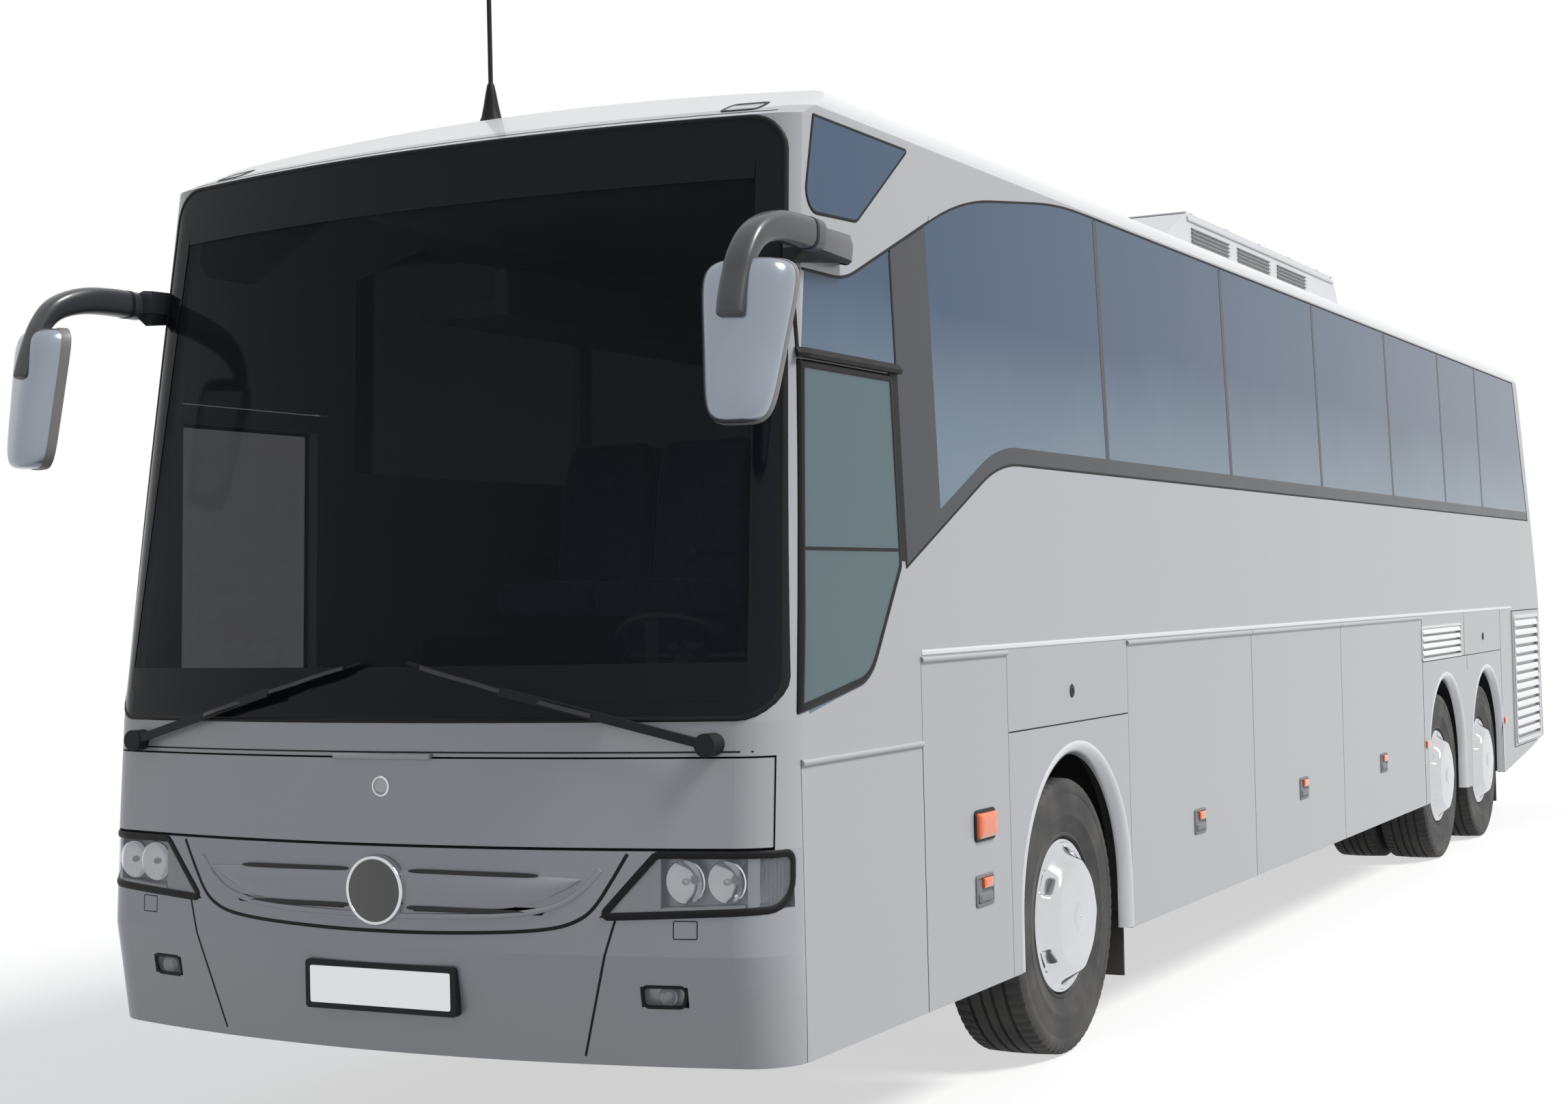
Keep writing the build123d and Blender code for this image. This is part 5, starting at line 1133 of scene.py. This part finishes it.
grids = [ribbon(level(start, end, height, 12), leaf_section, on_flank)
         for start, end in ((3.05, 3.70), (3.86, 4.48), (4.64, 5.25))
         for height in np.linspace(3.475, 3.555, 5)]
piece("roof_unit_grids", grids + [mirrored(s) for s in grids], latch_grey, slot="roof_plastic")
blue_cap = finish("fastener_blue", (0.05, 0.15, 0.30), 0.35, coat=0.4, drift=0.1, drift_size=0.02)
cap_profile = [(-0.002, 0.024), (0.006, 0.024), (0.010, 0.018), (0.014, 0.009), (0.015, 0.002)]
bolts = []
for place in (3.10, 3.72, 4.34, 4.96, 5.58):
    cap = turned(cap_profile, [unit_half - 0.030, place + front_axle_y, unit_top], 14, upwards)
    bolts += [cap, mirrored(cap)]
piece("roof_unit_fasteners", bolts, blue_cap, slot="roof_plastic")


def on_hatch(xy, up):
    """Points on the hatch's lid, which is crowned both ways."""
    across, along = xy[..., 0] / hatch_half, (xy[..., 1] - hatch_station) / hatch_half
    crown = 0.018 * (1 - across ** 2) * (1 - along ** 2)
    return np.stack([xy[..., 0], xy[..., 1] + front_axle_y, hatch_top + up + crown], -1)


for hatch_station, name in ((0.200, "front"), (7.600, "rear")):
    edge = box(-hatch_half, hatch_station - hatch_half, hatch_half, hatch_station + hatch_half)
    lid = filled(edge, 0.06, on_hatch, 0.0, -0.012)
    seal = bead(edge, 0.06, -0.004, 0.012, on_hatch, 0.004, 0.012)
    piece("roof_hatch_%s_lid" % name, [lid], gel_coat, slot="roof_plastic")
    piece("roof_hatch_%s_seal" % name, [seal], rubber, slot="black_trim")
marker_boxes = [box(hand * 0.945, 3.232, hand * 1.060, 3.268) for hand in (-1, 1)]
marker_lenses = [filled(corners, 0.012, on_front, 0.010, -0.002, 0.006) for corners in marker_boxes]
marker_rims = [bead(corners, 0.014, 0.0, 0.010, on_front, 0.008) for corners in marker_boxes]
piece("roof_marker_lenses", marker_lenses, lens_clear, slot="lamp_lens")
piece("roof_marker_rims", marker_rims, black_moulding, slot="black_trim")
foot_profile = [(3.340, 0.044), (3.366, 0.045), (3.378, 0.040), (3.393, 0.034), (3.425, 0.027),
                (3.470, 0.019), (3.500, 0.013), (3.510, 0.0083)]
aerial_foot = turned(foot_profile, [-0.110, -1.760 + front_axle_y, 0.0], 28, upwards)
piece("aerial_foot", [aerial_foot], rubber, slot="black_trim", crease=0.9)
# The thin dark line across the front just over the windscreen is a painted shadow, the shade under the roof's
# cap.
cap_shadow_line = between(level(-1.140, 1.140, 3.214, 80), level(-1.140, 1.140, 3.219, 80), 0.0010, on_front)
piece("roof_cap_shadow_line", [cap_shadow_line], rubber, slot="black_trim")

# Passenger seats: foam cushions and tall backs in a dark blue moquette, sewn in channels, on
# grey moulded shells with folding armrests. They stand in pairs on plinths along both sides.
rows_of_seats, front_row, row_pitch = 12, -0.350, 0.790
seat_middles, arm_middles = (0.425, 0.895), (0.212, 1.106)
seat_low, cushion_depth, cushion_width = 1.700, 0.430, 0.448
door_rows = (7, 8)
back_height, press_frames = 0.715, 20


def box_grid(size, cells, radius):
    """A closed box of even square cells with rounded edges: each point of the box keeps its
    nearest place on the inner box, p' = q + r (p - q) / |p - q|."""
    faces, points = [], []
    half = np.array(size) / 2
    for axis in range(3):
        one, two = (axis + 1) % 3, (axis + 2) % 3
        lines = [np.linspace(-1, 1, cells[side] + 1) for side in (one, two)]
        u, v = np.meshgrid(*lines, indexing="ij")
        for end in (-1, 1):
            p = np.zeros(u.shape + (3,))
            p[..., axis], p[..., one], p[..., two] = end, u, v
            index = np.arange(u.size).reshape(u.shape) + sum(len(q) for q in points)
            cell = np.stack([index[:-1, :-1], index[1:, :-1], index[1:, 1:], index[:-1, 1:]], -1)
            faces += cell.reshape(-1, 4).tolist()
            points.append((p * half).reshape(-1, 3))
    p = np.concatenate(points)
    inner = np.clip(p, -(half - radius), half - radius)
    away = p - inner
    return inner + radius * away / np.maximum(np.linalg.norm(away, axis=1, keepdims=True), 1e-9), faces


def welded(shape):
    """One closed mesh from the six sides of a box grid."""
    work = bmesh.new()
    verts = [work.verts.new(point) for point in shape[0].tolist()]
    for face in shape[1]:
        work.faces.new([verts[i] for i in face])
    bmesh.ops.remove_doubles(work, verts=work.verts, dist=1e-5)
    bmesh.ops.recalc_face_normals(work, faces=work.faces)
    mesh = bpy.data.meshes.new("pad_form")
    work.to_mesh(mesh)
    work.free()
    return mesh


def places_of(mesh):
    """A mesh's points as an array."""
    flat = np.empty(len(mesh.vertices) * 3)
    mesh.vertices.foreach_get("co", flat)
    return flat.reshape(-1, 3)


def stuffed(shape, most):
    """The form blown up as cloth by a small pressure from inside, each point held to a greatest
    move."""
    mesh = welded(shape)
    rest = blown = places_of(mesh)
    form = bpy.data.objects.new("pad_form", mesh)
    scene.collection.objects.link(form)
    air = form.modifiers.new("air", "CLOTH")
    air.settings.use_pressure = True
    air.settings.uniform_pressure_force = 4.0
    air.settings.effector_weights.gravity = 0.0
    air.point_cache.frame_end = press_frames
    for frame_number in range(1, press_frames + 1):
        scene.frame_set(frame_number)
    blown = places_of(form.evaluated_get(bpy.context.evaluated_depsgraph_get()).data)
    scene.frame_set(1)
    bpy.data.objects.remove(form)
    move = blown - rest
    length = np.linalg.norm(move, axis=1, keepdims=True)
    faces = [list(face.vertices) for face in mesh.polygons]
    return rest + move * np.minimum(1, most / np.maximum(length, 1e-9)), faces


def groove(value, places, width=0.014):
    """How deep a sewn channel lies, 0 to 1, by the distance from its line."""
    return np.exp(-((value[..., None] - np.array(places)) / width) ** 2).max(-1)


def moved(shape, step):
    """The same shape at another place."""
    return shape[0] + step, shape[1]


def seat_pads(width):
    """One cushion and one back, crowned and sewn, with their middles at x = 0 and their fronts
    at y = 0. Two channels run along the edges of the middle field and the rest cross it."""
    p, faces = stuffed(box_grid((width, 0.415, 0.112), (16, 14, 4), 0.030), 0.010)
    top, middle = np.clip(p[:, 2] / 0.05, 0, 1), np.abs(p[:, 0]) < width * 0.36
    crown = 0.010 * (1 - (p[:, 0] / (width / 2)) ** 2) * (1 - (p[:, 1] / 0.208) ** 2)
    p[:, 2] += top * (np.maximum(crown, 0) - 0.007 * groove(p[:, 1], (-0.10, 0.0, 0.10)) * middle)
    p[:, 2] -= top * 0.006 * groove(np.abs(p[:, 0]), (width * 0.37,))
    cushion = p + [0, 0.213, 0.060], faces
    p, faces = stuffed(box_grid((width, 0.092, back_height), (16, 4, 26), 0.034), 0.009)
    high = (p[:, 2] + 0.357) / back_height
    p[:, 0] *= 1 - 0.16 * np.clip((high - 0.72) / 0.28, 0, 1) ** 2
    front = np.clip(-p[:, 1] / 0.04, 0, 1)
    wings = np.clip(np.abs(p[:, 0]) / (width / 2) - 0.62, 0, 1) * (high > 0.60)
    p[:, 1] -= front * (0.020 * wings + 0.008 * np.sin(np.pi * np.clip(high, 0, 1)))
    middle = np.abs(p[:, 0]) < width * 0.36
    p[:, 1] += front * 0.007 * groove(high, (0.14, 0.26, 0.38, 0.50, 0.66)) * middle
    p[:, 1] += front * 0.006 * groove(np.abs(p[:, 0]), (width * 0.37,))
    p[:, 1] += 0.055 + 0.130 * np.clip(high, 0, 1)
    return cushion, (p + [0, 0, 0.372], faces)


def lay_pad(name, shapes):
    """A padded piece in seat cloth, which stands for the plain seats."""
    laid = piece(name, shapes, cloth, slot="seat_cloth", crease=1.2)
    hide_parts("seats")


cushion_form, back_form = seat_pads(cushion_width)
back_form = moved(back_form, [0, cushion_depth, 0])
shell_form = box_grid((0.440, 0.010, 0.600), (8, 1, 12), 0.0048)
shell_form[0][:, 1] += 0.113 + 0.130 * (shell_form[0][:, 2] + 0.40) / 0.74
shell_form = moved(shell_form, [0, cushion_depth, 0.40])
arm_form = box_grid((0.040, 0.330, 0.036), (3, 8, 3), 0.016)
shells, arms = [], []
for row in range(rows_of_seats):
    station = front_row + row_pitch * row + front_axle_y
    for side, hand in sides.items():
        if side == "right" and row in door_rows:
            continue
        spots = [[hand * middle, station, seat_low] for middle in seat_middles]
        shells += [moved(shell_form, spot) for spot in spots]
        arms += [moved(arm_form, [hand * middle, station + 0.235, seat_low + 0.235])
                 for middle in arm_middles]
        lay_pad("%s_seat_cushions_%02d" % (side, row + 1), [moved(cushion_form, spot) for spot in spots])
        lay_pad("%s_seat_backs_%02d" % (side, row + 1), [moved(back_form, spot) for spot in spots])
piece("seat_shells", shells, frame_grey, slot="seat_frame")
piece("seat_armrests", arms, frame_grey, slot="seat_frame")

# Driver's place: a wide sprung seat in the same cloth, and the steering wheel's padded centre,
# which leans with the wheel on its column.
driver_x, driver_station, driver_low, column_lean = 0.640, -1.400, 1.250, np.radians(35)
driver_spot = np.array([driver_x, driver_station + front_axle_y, driver_low])
driver_cushion, driver_back = seat_pads(0.490)
lay_pad("driver_seat_cushion", [moved(driver_cushion, driver_spot)])
driver_back = driver_back[0] * [1, 1, 1.03] + [0, cushion_depth, 0], driver_back[1]
lay_pad("driver_seat_back", [moved(driver_back, driver_spot)])
boss, boss_faces = box_grid((0.130, 0.110, 0.030), (8, 7, 2), 0.012)
up, along = boss[:, 2] + 0.006, boss[:, 1].copy()
boss[:, 1] = along * np.cos(column_lean) + up * np.sin(column_lean)
boss[:, 2] = -along * np.sin(column_lean) + up * np.cos(column_lean)
wheel_middle = [driver_x, -1.800 + front_axle_y, 1.560]
piece("steering_pad", [(boss + wheel_middle, boss_faces)], grip, slot="wheel_grip")

# Instrument hood: a moulded cowl over the dials, in the dashboard's own grained skin. It is
# screwed to the dashboard ahead of the steering wheel.
hood = box_grid((0.520, 0.230, 0.120), (12, 6, 4), 0.045)
hood = moved(hood, [driver_x, -2.060 + front_axle_y, 1.450])
piece("instrument_hood", [hood], dash_skin, slot="dash_plastic")

# Rear lamps: each cluster is one moulding with stop, turn and reversing lamps under a ribbed
# lens, screwed in a black frame. The engine lid has air slats, a grip and the rear window above.


def on_rear(xz, proud=0.0):
    """Points (x, height) laid on the rear's face, which is worked out as the front's is."""
    tip = front_axle_y + np.interp(xz[..., 1], *rear_tips)
    return np.stack([xz[..., 0], tip - set_back(xz[..., 0], rear_plan) + proud, xz[..., 1]], -1)


lamp_parts = [(0.775, 0.905, red_lens), (0.915, 1.010, clear_lens), (1.020, 1.150, amber),
              (1.160, 1.405, red_lens)]
for count, (low, high, lens) in enumerate(lamp_parts, 1):
    covers = []
    for hand in (-1, 1):
        cover = box(hand * 1.017, low, hand * 1.143, high)
        covers.append(filled(cover, 0.018, on_rear, 0.010, -0.004, 0.006))
        for place in np.arange(low + 0.020, high - 0.012, 0.014):
            rib = np.array([box(hand * 1.030, place - 0.002, hand * 1.130, place + 0.002)])
            covers.append(shell(np.concatenate([on_rear(rib, out) for out in (0.008, 0.0115)])))
    piece("rear_lamp_lens_%d" % count, covers, lens, slot="red_lens")
frames = [bead(box(hand * 1.006, 0.762, hand * 1.154, 1.418), 0.024, 0.0, 0.016, on_rear, 0.010)
          for hand in (-1, 1)]
piece("rear_lamp_frames", frames, black_moulding, slot="black_trim")
rear_glass = box(-0.960, 2.050, 0.960, 3.000)
rear_border = border(rear_glass, 0.09, 0.0, 0.060, on_rear, -0.002, 0.0012)
piece("rear_glass_border", [rear_border], print_and_painted_shade, slot="tinted_glass")
piece("rear_glass_seal", [bead(rear_glass, 0.09, 0.0, 0.014, on_rear, 0.004)], rubber, slot="black_trim")
lid_section = ((0, -0.003), (-0.006, 0.010), (0.002, 0.012), (0.012, -0.003))
lid_slats = [ribbon(level(-0.760, 0.760, height, 30), lid_section, on_rear)
             for height in np.linspace(0.800, 1.120, 11)]
lid_grip = filled(box(-0.110, 0.735, 0.110, 0.775), 0.015, on_rear, 0.014, -0.002, 0.008)
rear_plate = box(-0.260, 1.220, 0.260, 1.340)
lid_plate = filled(rear_plate, 0.010, on_rear, 0.005, -0.001, 0.002)
lid_plate_frame = bead(rear_plate, 0.012, 0.0, 0.012, on_rear, 0.008)
piece("engine_lid_slats", lid_slats, slat_white, "engine_lid", "body_paint")
piece("engine_lid_grip", [lid_grip], latch_grey, "engine_lid", "black_trim")
piece("rear_plate", [lid_plate], glowing_plate_white, "engine_lid", "body_paint")
piece("rear_plate_frame", [lid_plate_frame], black_moulding, "engine_lid", "black_trim")
for side, hand in sides.items():
    marker = filled(box(hand * 1.040, 3.120, hand * 1.110, 3.150), 0.010, on_rear, 0.010, -0.002, 0.006)
    piece("rear_%s_marker" % side, [marker], red_lens, slot="red_lens")
bumper_section = ((0, -0.003), (0.003, 0.006), (0.018, 0.006), (0.021, -0.003))
bumper_strip = ribbon(level(-1.150, 1.150, 0.655, 70), bumper_section, on_rear)
piece("rear_bumper_strip", [bumper_strip], belt_highlight_and_bumper_strip, slot="body_paint")

# Under the floor and on the screen: folded air bellows between their steel plates stand for the
# plain spring bodies, and the wipers carry rubber blades on steel backs.
blade_metal = finish("blade_metal", (0.03, 0.03, 0.032), 0.4, metallic=0.3, drift=0.1, drift_size=0.1,
                     grain=0.2)
blade_section = ((-0.004, 0.010), (-0.004, 0.030), (0.004, 0.030), (0.004, 0.010))
back_section = ((-0.006, -0.010), (-0.006, 0.0), (0.006, 0.0), (0.006, -0.010))
bow_lift = 0.040 + 0.010 * np.abs(np.sin(np.linspace(0, 3 * np.pi, 40)))


def on_bows(xz, out):
    """Points on the front that lie on the blade's three shallow bows."""
    return on_front(xz, bow_lift + out)


blades, backs = [], []
for hand in (-1, 1):
    along = np.array([-hand * 0.970, 0.243])
    for half, section, lay, made in ((0.36, blade_section, on_front, blades),
                                     (0.30, back_section, on_bows, backs)):
        run = np.linspace(-half, half, 40)[:, None] * along + [hand * 0.437, 1.485]
        made.append(ribbon(run, section, lay))
piece("wiper_blades", blades, rubber, slot="black_trim")
piece("wiper_backs", backs, blade_metal, slot="black_trim")
bellows = []
for station, seat in ((0.0, 0.560), (drive_station, 0.590), (tag_station, 0.590)):
    rise = np.linspace(0, 1, 41)
    radius = 0.098 + 0.020 * np.abs(np.sin(3 * np.pi * rise)) ** 0.6
    folds = np.stack([seat + 0.014 + rise * (0.766 - seat - 0.014), radius], 1)
    foot = [(seat - 0.02, 0.004), (seat - 0.02, 0.108), (seat + 0.010, 0.108), (seat + 0.010, 0.094)]
    head = [(0.770, 0.094), (0.770, 0.112), (0.7795, 0.112), (0.7795, 0.004)]
    profile = np.concatenate([foot, folds, head])
    bellows += [turned(profile, [x, station + front_axle_y, 0.0], 40, upwards) for x in (-0.420, 0.420)]
made = piece("spring_bellows", bellows, rubber_sheet, slot="spring_rubber", crease=0.7)
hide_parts("air_springs")
